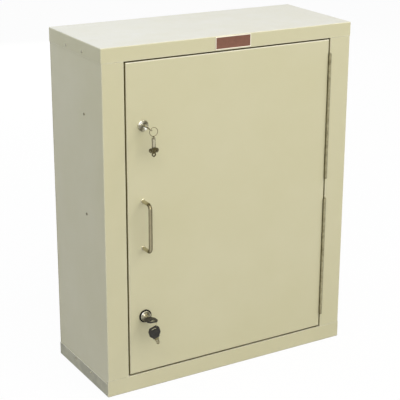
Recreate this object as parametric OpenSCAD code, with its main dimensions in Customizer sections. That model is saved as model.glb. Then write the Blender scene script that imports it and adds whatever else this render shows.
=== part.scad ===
// Wall-hung steel medicine cabinet with one inset door, two cam locks and three shelves.
// Frame: origin at the centre of the base's underside, +Z up, the door faces -Y, +Y is the wall.

/* [Cabinet] */
// Overall width of the cabinet
cabinet_w = 610; // [520:1:700]
// Overall depth of the cabinet without the pull and keys
cabinet_d = 248; // [220:1:290]
// Overall height of the cabinet
cabinet_h = 762; // [720:1:860]
// Thickness of the body sheet
sheet_t = 1.2; // [0.9:0.1:1.5]
// Outside radius of the sheet folds
fold_r = 2.2; // [1.8:0.1:3]
// Height of the cap's turned-down flange
cap_flange_h = 31; // [26:0.5:36]
// Height of the base's turned-up side flanges
base_flange_h = 30; // [26:0.5:34]
// Height of the base's front lip, under the door
base_lip_h = 37.5; // [34:0.5:44]
// Width of the stile on the lock side
latch_stile_w = 50.8; // [44:0.2:60]
// Width of the stile on the hinge side
hinge_stile_w = 54.3; // [48:0.1:62]
// Width of the door stop lip behind the lock-side edge
stop_lip_w = 12; // [10:0.5:14]
// Width of the flanges that carry the back panel
rear_flange_w = 22; // [16:1:30]
// Depth of the folds behind the cap's and the base's front flanges
header_d = 20; // [14:0.5:24]
// Gap left where two folded sheets meet edge to edge
seam = 0.3; // [0.2:0.1:0.6]

/* [Wall fixing] */
// Distance between the wall screw holes across the back
wall_hole_dx = 406.4; // [300:0.1:450]
// Distance between the wall screw holes up the back
wall_hole_dz = 508; // [400:1:560]
// Radius of the wall screw holes
wall_hole_r = 3.6; // [2.5:0.1:5]

/* [Door] */
// Gap round the door at its top, bottom and lock side
door_gap = 3.4; // [2.5:0.1:4.5]
// Depth of the door pan
door_d = 19; // [17:0.5:22]
// Thickness of the door sheet
door_t = 1.2; // [0.9:0.1:1.5]
// Width of the lips folded in at the back of the door
door_lip_w = 11; // [8:0.5:14]
// Height of the rubber bumpers on the stop lip
bumper_t = 2.5; // [2:0.1:3.5]
// Radius of the rubber bumpers
bumper_r = 3.2; // [2.5:0.1:3.5]
// Width of the raised part of a door stiffener
stiffener_w = 26; // [18:1:36]
// Width of each foot of a door stiffener
stiffener_foot = 12; // [8:1:16]

/* [Hinges] */
// Length of each of the two hinges
hinge_len = 288; // [240:1:310]
// Bare length of the door edge between the two hinges
hinge_space = 48; // [30:1:70]
// Number of knuckles in one hinge
knuckles = 11; // [7:2:15]
// Outside radius of a knuckle
knuckle_r = 3.2; // [2.9:0.1:3.8]
// Radius of the hinge pin
pin_r = 1.25; // [1:0.05:1.5]
// Radial clearance of the hinge pin
pin_play = 0.06; // [0.02:0.01:0.09]
// Thickness of a hinge leaf
leaf_t = 1.2; // [1:0.1:1.4]
// Gap between the two closed leaves
leaf_gap = 1; // [0.8:0.1:1.4]
// Width of a leaf behind the door face
leaf_w = 16; // [12:0.5:17]

/* [Pull] */
// Distance of the pull from the door's free edge
pull_inset = 35; // [28:0.5:60]
// Height of the pull's middle above the base
pull_z = 380; // [340:1:420]
// Distance between the pull's two feet
pull_len = 104; // [80:1:130]
// Distance from the door to the middle of the pull's bar
pull_out = 33; // [26:0.5:40]
// Radius of the pull's bar
pull_r = 4; // [3.5:0.1:5]
// Bend radius of the pull, at the middle of the bar
pull_bend = 10; // [8:0.5:14]
// Radius of the pull's screws
screw_r = 2; // [1.5:0.1:2.2]
// Depth of the screws in the pull
screw_depth = 9; // [6:0.5:12]

/* [Locks] */
// Distance of the locks from the door's free edge
lock_inset = 37.2; // [35:0.1:44]
// Distance of the upper lock below the door's top edge
upper_lock_drop = 133.2; // [80:0.1:180]
// Distance of the lower lock above the door's bottom edge
lower_lock_rise = 131.1; // [80:0.1:180]
// Radius of the lock barrel
barrel_r = 9.5; // [9:0.1:10]
// Radius of the lock's round face
face_r = 11.9; // [11.5:0.1:12.4]
// Thickness of the lock's round face
face_t = 2.8; // [2.4:0.1:3.4]
// Outside radius of the black bezel ring
bezel_r = 14.3; // [13.5:0.1:16]
// Thickness of the bezel under the lock's face
bezel_t = 1.6; // [1.2:0.1:2.4]
// Radius of the turning plug
plug_r = 6.6; // [6:0.1:7]
// Radial clearance of the turning plug
plug_play = 0.06; // [0.03:0.01:0.09]
// Thickness of the lock nut
nut_t = 4; // [3:0.5:6]
// Length of the cam from the lock's axis to its tip
cam_len = 37.5; // [36.5:0.1:39]
// Width of the cam
cam_w = 12; // [11:0.5:14]
// Thickness of the cam
cam_t = 2; // [1.5:0.1:2.5]
// Angle of the upper key's bow below the horizontal, as the lock rests
upper_key_turn = 40; // [20:1:60]
// Angle of the lower key's head below the horizontal, as the lock rests
lower_key_turn = 4; // [0:1:10]

/* [Keys] */
// Width of the key blades
blade_w = 8; // [7.4:0.1:8.4]
// Thickness of the key blades
blade_t = 2; // [1.6:0.1:2.2]
// Length of a blade inside its lock
blade_in = 9.5; // [9:0.5:12]
// Length of the upper key's stem between lock and bow
stem_len = 13.5; // [9:0.5:16]
// Distance across the side lobes of the upper key's bow
bow_w = 22; // [20:0.5:24]
// Length of the upper key's bow
bow_len = 19.5; // [19:0.5:24]
// Radius of the hole in the upper key's bow
bow_hole_r = 2.2; // [1.8:0.1:2.4]
// Greatest width of the lower key's black head
head_w = 26; // [24:0.5:28]
// Length of the lower key's black head
head_len = 32.5; // [32:0.5:38]
// Thickness of the black head
head_t = 3.2; // [3:0.1:3.6]
// Length of the slot across the black head
slot_w = 10; // [9.5:0.5:12]
// Height of the slot in the black head
slot_h = 8; // [7.8:0.1:8.6]
// Width of the bar between the slot and the head's end
head_bar = 3.2; // [2.6:0.1:3.6]
// Radius of the upper key's wire loop
loop_r = 9.2; // [8.5:0.1:10]
// Radius of the wire of the loop
loop_wire_r = 0.6; // [0.45:0.05:0.8]
// Radius of the lower key's split ring
ring_r = 9; // [8.6:0.1:9.4]
// Radius of the wire of the split ring
ring_wire_r = 0.7; // [0.6:0.05:0.8]
// Tilt of the lower spare key, hanging from one end of its slot
spare_tilt = 17; // [12:1:22]

/* [Shelves] */
// Distance of each row of standards from the cabinet's middle, front to back
standard_y = 38; // [32:1:60]
// Width of a slotted standard
standard_w = 16; // [14:0.5:20]
// Height of a standard's face off the side wall
standard_rise = 5; // [4.5:0.1:6]
// Distance between the slots of a standard
slot_pitch = 25.4; // [20:0.1:30]
// Height of the lowest slot
first_slot_z = 60; // [50:1:70]
// Thickness of the shelf sheet
shelf_t = 1; // [0.8:0.1:1.4]
// Depth of the shelves' turned-down edges
shelf_edge = 14; // [12:0.5:20]
// Number of the slot under each shelf
shelf_slots = [6, 12, 18];
// Thickness of the shelf clips
clip_t = 1.5; // [1.2:0.1:1.8]
// Width of the shelf clips
clip_w = 8; // [6:0.5:9]

/* [Rivets and plate] */
// Radius of the rivets' shanks
rivet_r = 2; // [1.6:0.1:2.2]
// Radius of the rivets' round heads
rivet_head_r = 3; // [2.8:0.1:3.6]
// Height of the rivets' round heads
rivet_head_h = 1.4; // [1:0.1:1.8]
// Height of the base rivets
base_rivet_z = 24; // [14:0.5:25]
// Distance of the cap rivets below the top
cap_rivet_drop = 22; // [14:0.5:25]
// Heights of the rivets that hold the front standards at mid height
mid_rivet_z = [393, 610];
// Width of the plate on the cap's front
plate_w = 86.5; // [60:0.5:120]
// Height of the plate on the cap's front
plate_h = 27.5; // [20:0.5:28]
// Thickness of the plate
plate_t = 0.8; // [0.5:0.1:1.2]
// Width of the plate's raised rim
plate_rim = 1.4; // [1:0.1:2]

/* [Hidden] */
$fn = 48;
half_w = cabinet_w / 2;
front_y = -cabinet_d / 2;
back_y = cabinet_d / 2;
wall_x = half_w - sheet_t;               // outside of the side walls
inner_x = wall_x - sheet_t;              // inside of the side walls
open_left = -half_w + latch_stile_w;
open_right = half_w - hinge_stile_w;
open_bottom = base_lip_h;
open_top = cabinet_h - cap_flange_h;
tuck = 0.4 * sheet_t;                    // how far folded parts of one sheet run into each other

hinge_gap = 2 * leaf_t + leaf_gap;
door_left = open_left + door_gap;
door_right = open_right - hinge_gap;
door_bottom = open_bottom + door_gap;
door_top = open_top - door_gap;
door_mid_z = (door_bottom + door_top) / 2;
door_inside = door_d - 2 * door_t;
stop_y = front_y + door_d + bumper_t;    // front of the stop lip
bumper_play = 0.2;

pin_x = open_right - hinge_gap / 2;
pin_y = front_y - knuckle_r;
knuckle_len = hinge_len / knuckles;
knuckle_gap = 0.4;
bore_r = pin_r + pin_play;
leaf_clear = knuckle_r + 0.4;            // leaf edge to the pin's axis beside the other leaf's knuckles
pin_head_r = 2.2;
pin_head_t = 0.8;
hinge_z = [door_mid_z - hinge_space / 2 - hinge_len, door_mid_z + hinge_space / 2];

pull_x = door_left + pull_inset;
lock_x = door_left + lock_inset;
upper_lock_z = door_top - upper_lock_drop;
lower_lock_z = door_bottom + lower_lock_rise;
upper_face = face_t;                     // lock face ahead of the door
lower_face = face_t + bezel_t;
cam_y = stop_y + sheet_t + 0.8;          // front of the cams, behind the stop lip
barrel_y = cam_y - 0.5;                  // back end of the lock barrels
plug_recess = 0.4;
plug_head_r = plug_r + 1.4;
plug_head_t = 1.6;
tail_w = 7;                              // square tail of the plug in the cam
tail_play = 0.05;
cam_screw_r = 1.6;
cam_screw_head_r = 4.2;
cam_screw_head_t = 2.4;
cam_screw_depth = 8;
keyway_play = 0.15;
fit_play = 0.1;                          // barrels, screws and shanks in their clearance holes

bow_lobe_r = 5;
bow_end_r = 4.6;
bow_neck_w = 8;
bow_hole_u = stem_len + bow_len - bow_end_r;
upper_key_y = front_y - upper_face + plug_recess;
loop_u = bow_hole_u;
loop_v = bow_hole_r - loop_wire_r - 0.15 + loop_r;
knot_r = 2.2;
knot_len = 7.5;
knot_grip = 6.7;

lower_key_y = front_y - lower_face + plug_recess;
head_start = 2.2;                        // black head clear of the lock's face
head_bar_u = head_start + head_len - head_bar / 2;
ring_v = slot_w / 2 - 2;                 // ring at the low end of the slot
ring_drop = 5.8;                         // ring's centre below the bar it hangs on
ring_x = lock_x + ring_v * cos(lower_key_turn);
ring_z = lower_lock_z - ring_v * sin(lower_key_turn) - ring_drop;
ring_y = lower_key_y - head_bar_u;
ring_play = 0.4;
spare_u = head_bar + ring_wire_r + ring_play;  // ring's wire below the end of the spare's head
spare_z = ring_z - ring_r;

web_x = inner_x - standard_rise;         // face of the standards
standard_play = 0.5;
slot_open_w = 10;
slot_open_h = 3;
slot_count = floor((cabinet_h - cap_flange_h - first_slot_z) / slot_pitch);
dimple_r = 5;
shelf_front = front_y + 36;
shelf_back = back_y - 2 * sheet_t - 1.6;
shelf_half_w = web_x - clip_t - 0.6;
clip_drop = 12;
clip_up = 3;
clip_ledge = 13;
plate_z = open_top + cap_flange_h / 2;

enamel = [0.82, 0.80, 0.68];
steel = [0.62, 0.62, 0.60];
bright = [0.80, 0.80, 0.80];
black = [0.10, 0.10, 0.10];

// ---- shapes that repeat ----

// Block between two opposite corners
module block(a, b) {
    translate(a) cube(b - a);
}

// Cylinder along X from x0 to x1
module rod_x(x0, x1, y, z, r) {
    translate([x0, y, z]) rotate([0, 90, 0]) cylinder(r = r, h = x1 - x0);
}

// Cylinder along Y from y0 to y1
module rod_y(x, y0, y1, z, r) {
    translate([x, y0, z]) rotate([-90, 0, 0]) cylinder(r = r, h = y1 - y0);
}

// Folded strip of thickness t along a path of right-angled turns, with outside radius r
module fold(path, t, r) {
    rc = r - t / 2;
    last = len(path) - 1;
    for (i = [0 : last - 1]) {
        a = path[i];
        b = path[i + 1];
        way = (b - a) / norm(b - a);
        start = a + way * (i > 0 ? rc : 0);
        end = b - way * (i < last - 1 ? rc : 0);
        side = [-way[1], way[0]] * t / 2;
        polygon([start - side, end - side, end + side, start + side]);
    }
    for (i = [1 : last - 1]) {
        way_in = (path[i] - path[i - 1]) / norm(path[i] - path[i - 1]);
        way_out = (path[i + 1] - path[i]) / norm(path[i + 1] - path[i]);
        centre = path[i] + (way_out - way_in) * rc;
        translate(centre) intersection() {
            difference() {
                circle(r = r);
                circle(r = r - t);
            }
            polygon([[0, 0], way_in * r, (way_in - way_out) * r, -way_out * r]);
        }
    }
}

// Flat outline w wide and d deep, centred on X, with its two corners at Y = 0 rounded
module pan_outline(w, d, r) {
    translate([-w / 2, r]) square([w, d - r]);
    translate([-w / 2 + r, 0]) square([w - 2 * r, r + 0.01]);
    for (x = [-w / 2 + r, w / 2 - r]) translate([x, r]) circle(r = r);
}

// Solid w by d by h with its four front edges rounded, front at Y = 0
module pan_solid(w, d, h, r) {
    intersection() {
        translate([0, 0, -h / 2]) linear_extrude(h) pan_outline(w, d, r);
        rotate([0, -90, 0]) translate([0, 0, -w / 2]) linear_extrude(w) pan_outline(h, d, r);
    }
}

// Round-headed rivet from outside x = 0 towards +X; its formed tail lies past grip
module rivet(grip) {
    dome_r = (rivet_head_r * rivet_head_r + rivet_head_h * rivet_head_h) / (2 * rivet_head_h);
    rotate([0, 90, 0]) {
        rotate_extrude() union() {
            intersection() {
                translate([0, dome_r - rivet_head_h]) circle(r = dome_r);
                translate([0, -rivet_head_h]) square([rivet_head_r, rivet_head_h]);
            }
            square([rivet_r, grip + rivet_head_h / 2]);
            translate([0, grip]) square([rivet_head_r - 0.4, rivet_head_h / 2]);
        }
    }
}

// ---- cabinet body ----

// Side wall on the -X side with its rear flange, front stile and return
module side_sheet(stile_edge, lip_way) {
    back_line = back_y - 1.5 * sheet_t;
    wall_line = -wall_x + sheet_t / 2;
    stile_line = front_y + sheet_t / 2;
    edge_line = stile_edge - sheet_t / 2;
    lip_line = stop_y + sheet_t / 2;
    tab_h = cap_flange_h / 2;
    translate([0, 0, sheet_t]) linear_extrude(cabinet_h - 2 * sheet_t)
        fold([[-wall_x + rear_flange_w, back_line], [wall_line, back_line],
            [wall_line, front_y + fold_r]], sheet_t, fold_r);
    translate([0, 0, open_bottom + seam]) linear_extrude(open_top - open_bottom - 2 * seam)
        fold([[wall_line, 0], [wall_line, stile_line], [edge_line, stile_line],
            [edge_line, lip_line], [edge_line + lip_way * stop_lip_w, lip_line]], sheet_t, fold_r);
    // tabs behind the cap's and the base's front flanges
    for (z = [open_bottom - tab_h, open_top - tab_h])
        block([-wall_x + fold_r, front_y + sheet_t, z],
            [stile_edge - fold_r, front_y + 2 * sheet_t, z + 2 * tab_h]);
    block([-wall_x + fold_r, front_y + sheet_t - tuck, open_bottom + seam],
        [stile_edge - fold_r, front_y + sheet_t + tuck, open_bottom + tab_h]);
    block([-wall_x + fold_r, front_y + sheet_t - tuck, open_top - tab_h],
        [stile_edge - fold_r, front_y + sheet_t + tuck, open_top - seam]);
}

// Rivet holes through the -X side, for cap, base and front standard
module side_holes(mid_heights) {
    for (y = [-standard_y, standard_y], z = [base_rivet_z, cabinet_h - cap_rivet_drop])
        rod_x(-half_w - 1, -inner_x + 1, y, z, rivet_r + fit_play / 2);
    for (z = mid_heights) rod_x(-half_w - 1, -inner_x + 1, -standard_y, z, rivet_r + fit_play / 2);
}

module left_side_panel() {
    color(enamel) difference() {
        side_sheet(open_left, 1);
        side_holes(mid_rivet_z);
    }
}

module right_side_panel() {
    color(enamel) mirror([1, 0, 0]) difference() {
        side_sheet(-open_right, -1);
        side_holes(mid_rivet_z);
    }
}

module back_panel() {
    color(enamel) difference() {
        block([-wall_x, back_y - sheet_t, sheet_t], [wall_x, back_y, cabinet_h - sheet_t]);
        for (x = [-wall_hole_dx / 2, wall_hole_dx / 2], z = [-wall_hole_dz / 2, wall_hole_dz / 2])
            rod_y(x, back_y - sheet_t - 1, back_y + 1, cabinet_h / 2 + z, wall_hole_r);
    }
}

// Tray that closes one end of the cabinet: floor at Z = 0, flanges up, front lip lip_h high
module end_tray(flange_h, lip_h) {
    difference() {
        intersection() {
            translate([0, back_y, 0]) rotate([90, 0, 0])
                linear_extrude(cabinet_d) pan_outline(cabinet_w, lip_h, fold_r);
            translate([-half_w, 0, 0]) rotate([90, 0, 90]) linear_extrude(cabinet_w) union() {
                translate([front_y + fold_r, 0]) square([cabinet_d - fold_r, lip_h]);
                translate([front_y, fold_r]) square([cabinet_d, lip_h - fold_r]);
                translate([front_y + fold_r, fold_r]) circle(r = fold_r);
            }
            translate([0, front_y, 0]) linear_extrude(lip_h) pan_outline(cabinet_w, cabinet_d, fold_r);
        }
        block([-wall_x, front_y + sheet_t, sheet_t], [wall_x, back_y + 1, lip_h + 1]);
        block([-half_w - 1, front_y + sheet_t + fold_r, flange_h], [half_w + 1, back_y + 1, lip_h + 1]);
    }
    // header fold behind the front lip, between the stiles
    hem = 9;
    translate([open_left + seam, 0, 0]) rotate([90, 0, 90]) linear_extrude(open_right - open_left - 2 * seam)
        fold([[front_y + sheet_t / 2, lip_h - 2 * fold_r], [front_y + sheet_t / 2, lip_h - sheet_t / 2],
            [front_y + header_d, lip_h - sheet_t / 2],
            [front_y + header_d, lip_h - hem]], sheet_t, fold_r);
    // rear flange inside the back panel
    flange_end = wall_x - rear_flange_w - 1;
    block([-flange_end, back_y - 2 * sheet_t, sheet_t - tuck],
        [flange_end, back_y - sheet_t, rear_flange_w]);
}

module tray_rivet_holes(z) {
    for (y = [-standard_y, standard_y]) rod_x(-half_w - 1, half_w + 1, y, z, rivet_r + fit_play / 2);
}

module top_cap() {
    color(enamel) translate([0, 0, cabinet_h]) mirror([0, 0, 1]) difference() {
        end_tray(cap_flange_h, cap_flange_h);
        tray_rivet_holes(cap_rivet_drop);
    }
}

module base_pan() {
    color(enamel) difference() {
        end_tray(base_flange_h, base_lip_h);
        tray_rivet_holes(base_rivet_z);
    }
}

// One row of rivets on both sides: outside at out_x, tail on the standards' faces
module side_rivets(out_x, rows, heights) {
    for (way = [0, 1], y = rows, z = heights)
        mirror([way, 0, 0]) translate([-out_x, y, z]) rivet(out_x - web_x);
}

module cap_rivets() {
    color(enamel) side_rivets(half_w, [-standard_y, standard_y], [cabinet_h - cap_rivet_drop]);
}

module base_rivets() {
    color(enamel) side_rivets(half_w, [-standard_y, standard_y], [base_rivet_z]);
}

module standard_rivets() {
    color(enamel) side_rivets(wall_x, [-standard_y], mid_rivet_z);
}

module nameplate() {
    color([0.43, 0.27, 0.23]) translate([0, front_y, plate_z]) rotate([90, 0, 0]) difference() {
        linear_extrude(plate_t) square([plate_w, plate_h], center = true);
        translate([0, 0, plate_t / 2]) linear_extrude(plate_t)
            square([plate_w - 2 * plate_rim, plate_h - 2 * plate_rim], center = true);
    }
}

module door_bumpers() {
    lip_end = open_left - sheet_t / 2 + stop_lip_w;
    color(black) for (z = [door_bottom + 60, door_mid_z, door_top - 60])
        rod_y((door_left + lip_end) / 2, stop_y - bumper_t + bumper_play, stop_y, z, bumper_r);
}

// ---- shelf standards, clips and shelves ----

// Slotted channel on the -X wall at depth y, with dimples where rivets pass
module standard(y, rivet_heights) {
    bottom = sheet_t;
    top = cabinet_h - sheet_t - standard_play;
    difference() {
        union() {
            translate([0, y, bottom]) linear_extrude(top - bottom)
                fold([[-inner_x, -standard_w / 2 + sheet_t / 2], [-web_x - sheet_t / 2, -standard_w / 2 + sheet_t / 2],
                    [-web_x - sheet_t / 2, standard_w / 2 - sheet_t / 2], [-inner_x, standard_w / 2 - sheet_t / 2]],
                    sheet_t, fold_r);
            for (z = rivet_heights) rod_x(-inner_x, -web_x - tuck, y, z, dimple_r);
        }
        for (z = rivet_heights) rod_x(-half_w, -web_x + 1, y, z, rivet_r + fit_play / 2);
        for (i = [0 : slot_count - 1])
            if (min([for (z = rivet_heights) abs(slot_z(i) - z)]) > dimple_r + slot_open_h)
                translate([-web_x - sheet_t - 0.5, y - slot_open_w / 2, slot_z(i) - slot_open_h / 2])
                    cube([sheet_t + 1, slot_open_w, slot_open_h]);
    }
}

end_heights = [base_rivet_z, cabinet_h - cap_rivet_drop];

module front_left_standard() {
    color(steel) standard(-standard_y, concat(end_heights, mid_rivet_z));
}

module rear_left_standard() {
    color(steel) standard(standard_y, end_heights);
}

module front_right_standard() {
    color(steel) mirror([1, 0, 0]) standard(-standard_y, concat(end_heights, mid_rivet_z));
}

module rear_right_standard() {
    color(steel) mirror([1, 0, 0]) standard(standard_y, end_heights);
}

// Clip on the -X side: tongue through the slot at height z, ledge below it
module shelf_clip(y, z) {
    tongue_t = slot_open_h - 0.4;
    tail_x = -web_x - sheet_t - 0.3;
    translate([0, y - clip_w / 2, z]) {
        block([-web_x, 0, -clip_drop], [-web_x + clip_t, clip_w, clip_up]);
        block([tail_x - clip_t, 0, -tongue_t / 2], [-web_x + clip_t / 2, clip_w, tongue_t / 2]);
        block([tail_x - clip_t, 0, -tongue_t / 2 - 3], [tail_x, clip_w, tongue_t / 2]);
        block([-web_x, 0, -clip_drop], [-web_x + clip_ledge, clip_w, clip_t - clip_drop]);
    }
}

function slot_z(i) = first_slot_z + i * slot_pitch;

module shelf_clips() {
    color(steel) for (way = [0, 1], y = [-standard_y, standard_y], i = shelf_slots)
        mirror([way, 0, 0]) shelf_clip(y, slot_z(i));
}

// Shelf resting on the clips in slot number i
module shelf(i) {
    underside = slot_z(i) - clip_drop + clip_t;
    color(enamel) translate([-shelf_half_w, 0, underside]) rotate([90, 0, 90])
        linear_extrude(2 * shelf_half_w)
        fold([[shelf_front, shelf_t - shelf_edge], [shelf_front, shelf_t / 2],
            [shelf_back, shelf_t / 2], [shelf_back, shelf_t - shelf_edge]], shelf_t, 1.8);
}

module lower_shelf() { shelf(shelf_slots[0]); }
module middle_shelf() { shelf(shelf_slots[1]); }
module upper_shelf() { shelf(shelf_slots[2]); }

// ---- hinges ----

// One leaf about the pin's axis: knuckles from number first, plate on the way side
module leaf(first, way) {
    near = way > 0 ? leaf_gap / 2 : -leaf_gap / 2 - leaf_t;
    plate_end = knuckle_r + leaf_w;
    difference() {
        union() {
            for (k = [first : 2 : knuckles - 1]) {
                translate([0, 0, k * knuckle_len + knuckle_gap / 2])
                    cylinder(r = knuckle_r, h = knuckle_len - knuckle_gap);
                block([near, 0, k * knuckle_len + knuckle_gap / 2],
                    [near + leaf_t, leaf_clear + 1, (k + 1) * knuckle_len - knuckle_gap / 2]);
            }
            block([near, leaf_clear, 0], [near + leaf_t, plate_end, hinge_len]);
        }
        translate([0, 0, -1]) cylinder(r = bore_r, h = hinge_len + 2);
    }
}

module at_hinge(i) {
    translate([pin_x, pin_y, hinge_z[i]]) children();
}

module hinge_pin() {
    translate([0, 0, -pin_head_t]) cylinder(r = pin_r, h = hinge_len + 2 * pin_head_t);
    for (z = [-pin_head_t, hinge_len]) translate([0, 0, z]) cylinder(r = pin_head_r, h = pin_head_t);
}

module lower_hinge_frame_leaf() { color(steel) at_hinge(0) leaf(0, 1); }
module upper_hinge_frame_leaf() { color(steel) at_hinge(1) leaf(0, 1); }
module lower_hinge_door_leaf() { color(steel) at_hinge(0) leaf(1, -1); }
module upper_hinge_door_leaf() { color(steel) at_hinge(1) leaf(1, -1); }
module lower_hinge_pin() { color(steel) at_hinge(0) hinge_pin(); }
module upper_hinge_pin() { color(steel) at_hinge(1) hinge_pin(); }

// ---- door ----

module door_pan() {
    w = door_right - door_left;
    h = door_top - door_bottom;
    r_in = fold_r - door_t;
    color(enamel) difference() {
        translate([(door_left + door_right) / 2, front_y, door_mid_z]) difference() {
            pan_solid(w, door_d, h, fold_r);
            translate([0, door_t, 0])
                pan_solid(w - 2 * door_t, door_inside, h - 2 * door_t, r_in);
            block([-w / 2 + door_lip_w, door_t + r_in, -h / 2 + door_lip_w],
                [w / 2 - door_lip_w, door_d + 1, h / 2 - door_lip_w]);
        }
        for (z = [lower_lock_z, upper_lock_z])
            rod_y(lock_x, front_y - 1, front_y + door_t + 1, z, barrel_r + fit_play);
        for (way = [-1, 1]) rod_y(pull_x, front_y - 1, front_y + door_t + 1,
            pull_z + way * pull_len / 2, screw_r + fit_play);
    }
}

module door_stiffeners() {
    rib = stiffener_w / 2;
    foot = rib + stiffener_foot;
    line = door_t / 2;
    color(steel) for (x = [door_left + 0.36 * (door_right - door_left), door_left + 0.7 * (door_right - door_left)])
        translate([x, front_y + door_t, door_bottom + fold_r])
            linear_extrude(door_top - door_bottom - 2 * fold_r)
            fold([[-foot, line], [-rib, line], [-rib, door_inside - line], [rib, door_inside - line],
                [rib, line], [foot, line]], door_t, fold_r);
}

module door_pull() {
    arm = pull_out - pull_bend;
    bar = pull_len - 2 * pull_bend;
    color(bright) translate([pull_x, front_y, pull_z]) difference() {
        union() {
            for (way = [-1, 1]) {
                rod_y(0, -arm, 0, way * pull_len / 2, pull_r);
                translate([0, -arm, way * bar / 2]) rotate([0, -90, 0]) rotate([0, 0, way > 0 ? -90 : 180])
                    rotate_extrude(angle = 90) translate([pull_bend, 0]) circle(r = pull_r);
            }
            translate([0, -pull_out, -bar / 2]) cylinder(r = pull_r, h = bar);
        }
        for (way = [-1, 1]) rod_y(0, -screw_depth - 0.5, 1, way * pull_len / 2, screw_r + fit_play / 2);
    }
}

module pull_screws() {
    color(steel) for (way = [-1, 1]) {
        z = pull_z + way * pull_len / 2;
        rod_y(pull_x, front_y - screw_depth, front_y + door_t, z, screw_r);
        rod_y(pull_x, front_y + door_t, front_y + door_t + 2.4, z, 2 * screw_r);
    }
}

// ---- locks ----

// Barrel with its round face face_out ahead of the door
module lock_barrel(z, face_out) {
    color(bright) difference() {
        union() {
            rod_y(lock_x, front_y - face_out, front_y - face_out + face_t, z, face_r);
            rod_y(lock_x, front_y - face_out, barrel_y, z, barrel_r);
        }
        rod_y(lock_x, front_y - face_out - 1, barrel_y + 1, z, plug_r + plug_play);
        rod_y(lock_x, front_y - face_out - 1, front_y - face_out + plug_recess + plug_head_t + plug_play,
            z, plug_head_r + plug_play);
    }
}

module lock_nut(z) {
    color(bright) difference() {
        translate([lock_x, front_y + door_t, z]) rotate([-90, 0, 0]) cylinder(r = barrel_r + 4, h = nut_t, $fn = 6);
        rod_y(lock_x, front_y, front_y + door_t + nut_t + 1, z, barrel_r + fit_play / 2);
    }
}

// Local key frame at a lock: +X out of the door, Y across the bow, Z through its thickness
module at_key(y, z, turn) {
    translate([lock_x, y, z]) rotate([0, turn, 0]) rotate([0, 0, -90]) children();
}

module at_upper_key() { at_key(upper_key_y, upper_lock_z, upper_key_turn) children(); }

module at_lower_key() { at_key(lower_key_y, lower_lock_z, lower_key_turn) children(); }

// Plug with its keyway, square tail and screw hole
module lock_plug(z, key_y, key_turn) {
    color(bright) difference() {
        union() {
            rod_y(lock_x, key_y, cam_y, z, plug_r);
            rod_y(lock_x, key_y, key_y + plug_head_t, z, plug_head_r);
            block([lock_x - tail_w / 2, cam_y - 1, z - tail_w / 2],
                [lock_x + tail_w / 2, cam_y + cam_t, z + tail_w / 2]);
        }
        at_key(key_y, z, key_turn) block([-blade_in - 1, -blade_w / 2 - keyway_play, -blade_t / 2 - keyway_play],
            [1, blade_w / 2 + keyway_play, blade_t / 2 + keyway_play]);
        rod_y(lock_x, cam_y + cam_t - cam_screw_depth, cam_y + cam_t + 1, z, cam_screw_r + fit_play / 2);
    }
}

// Cam pointing up while the lock is open
module lock_cam(z) {
    color(steel) translate([lock_x, cam_y, z]) rotate([-90, 0, 0]) rotate([0, 0, 180]) difference() {
        linear_extrude(cam_t) union() {
            circle(r = cam_w / 2 + 1.5);
            translate([-cam_w / 2, 0]) square([cam_w, cam_len - cam_w / 2]);
            translate([0, cam_len - cam_w / 2]) circle(r = cam_w / 2);
        }
        translate([0, 0, cam_t / 2])
            cube([tail_w + 2 * tail_play, tail_w + 2 * tail_play, 2 * cam_t], center = true);
    }
}

module cam_screw(z) {
    color(steel) union() {
        rod_y(lock_x, cam_y + cam_t - cam_screw_depth + 0.5, cam_y + cam_t + 0.1, z, cam_screw_r);
        difference() {
            rod_y(lock_x, cam_y + cam_t, cam_y + cam_t + cam_screw_head_t, z, cam_screw_head_r);
            block([lock_x - cam_screw_head_r, cam_y + cam_t + 1.2, z - 0.5],
                [lock_x + cam_screw_head_r, cam_y + cam_t + 4, z + 0.5]);
        }
    }
}

module upper_lock_barrel() { lock_barrel(upper_lock_z, upper_face); }
module upper_lock_nut() { lock_nut(upper_lock_z); }
module upper_lock_plug() { lock_plug(upper_lock_z, upper_key_y, upper_key_turn); }
module upper_lock_cam() { lock_cam(upper_lock_z); }
module upper_cam_screw() { cam_screw(upper_lock_z); }
module lower_lock_barrel() { lock_barrel(lower_lock_z, lower_face); }
module lower_lock_nut() { lock_nut(lower_lock_z); }
module lower_lock_plug() { lock_plug(lower_lock_z, lower_key_y, lower_key_turn); }
module lower_lock_cam() { lock_cam(lower_lock_z); }
module lower_cam_screw() { cam_screw(lower_lock_z); }

module lower_lock_bezel() {
    color(black) difference() {
        rod_y(lock_x, front_y - bezel_t - 1.5, front_y, lower_lock_z, bezel_r);
        rod_y(lock_x, front_y - bezel_t - 3, front_y + 1, lower_lock_z, barrel_r + fit_play);
        rod_y(lock_x, front_y - bezel_t - 3, front_y - bezel_t, lower_lock_z, face_r + fit_play);
    }
}

// ---- keys ----

// Pointed blade from u = -reach to u = out, with a groove along each face
module blade(reach, out) {
    groove = 0.35;
    difference() {
        translate([0, 0, -blade_t / 2]) linear_extrude(blade_t)
            polygon([[-reach, -1.2], [-reach + 3.4, -blade_w / 2], [out, -blade_w / 2],
                [out, blade_w / 2], [-reach + 3.4, blade_w / 2], [-reach, 1.2]]);
        for (v = [-1.6, 1.6], way = [-1, 1])
            translate([-reach + 3.4, v - 0.6, way * (blade_t / 2 - groove / 2) - groove / 2 - 0.005])
                cube([reach, 1.2, groove + 0.01]);
    }
}

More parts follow.
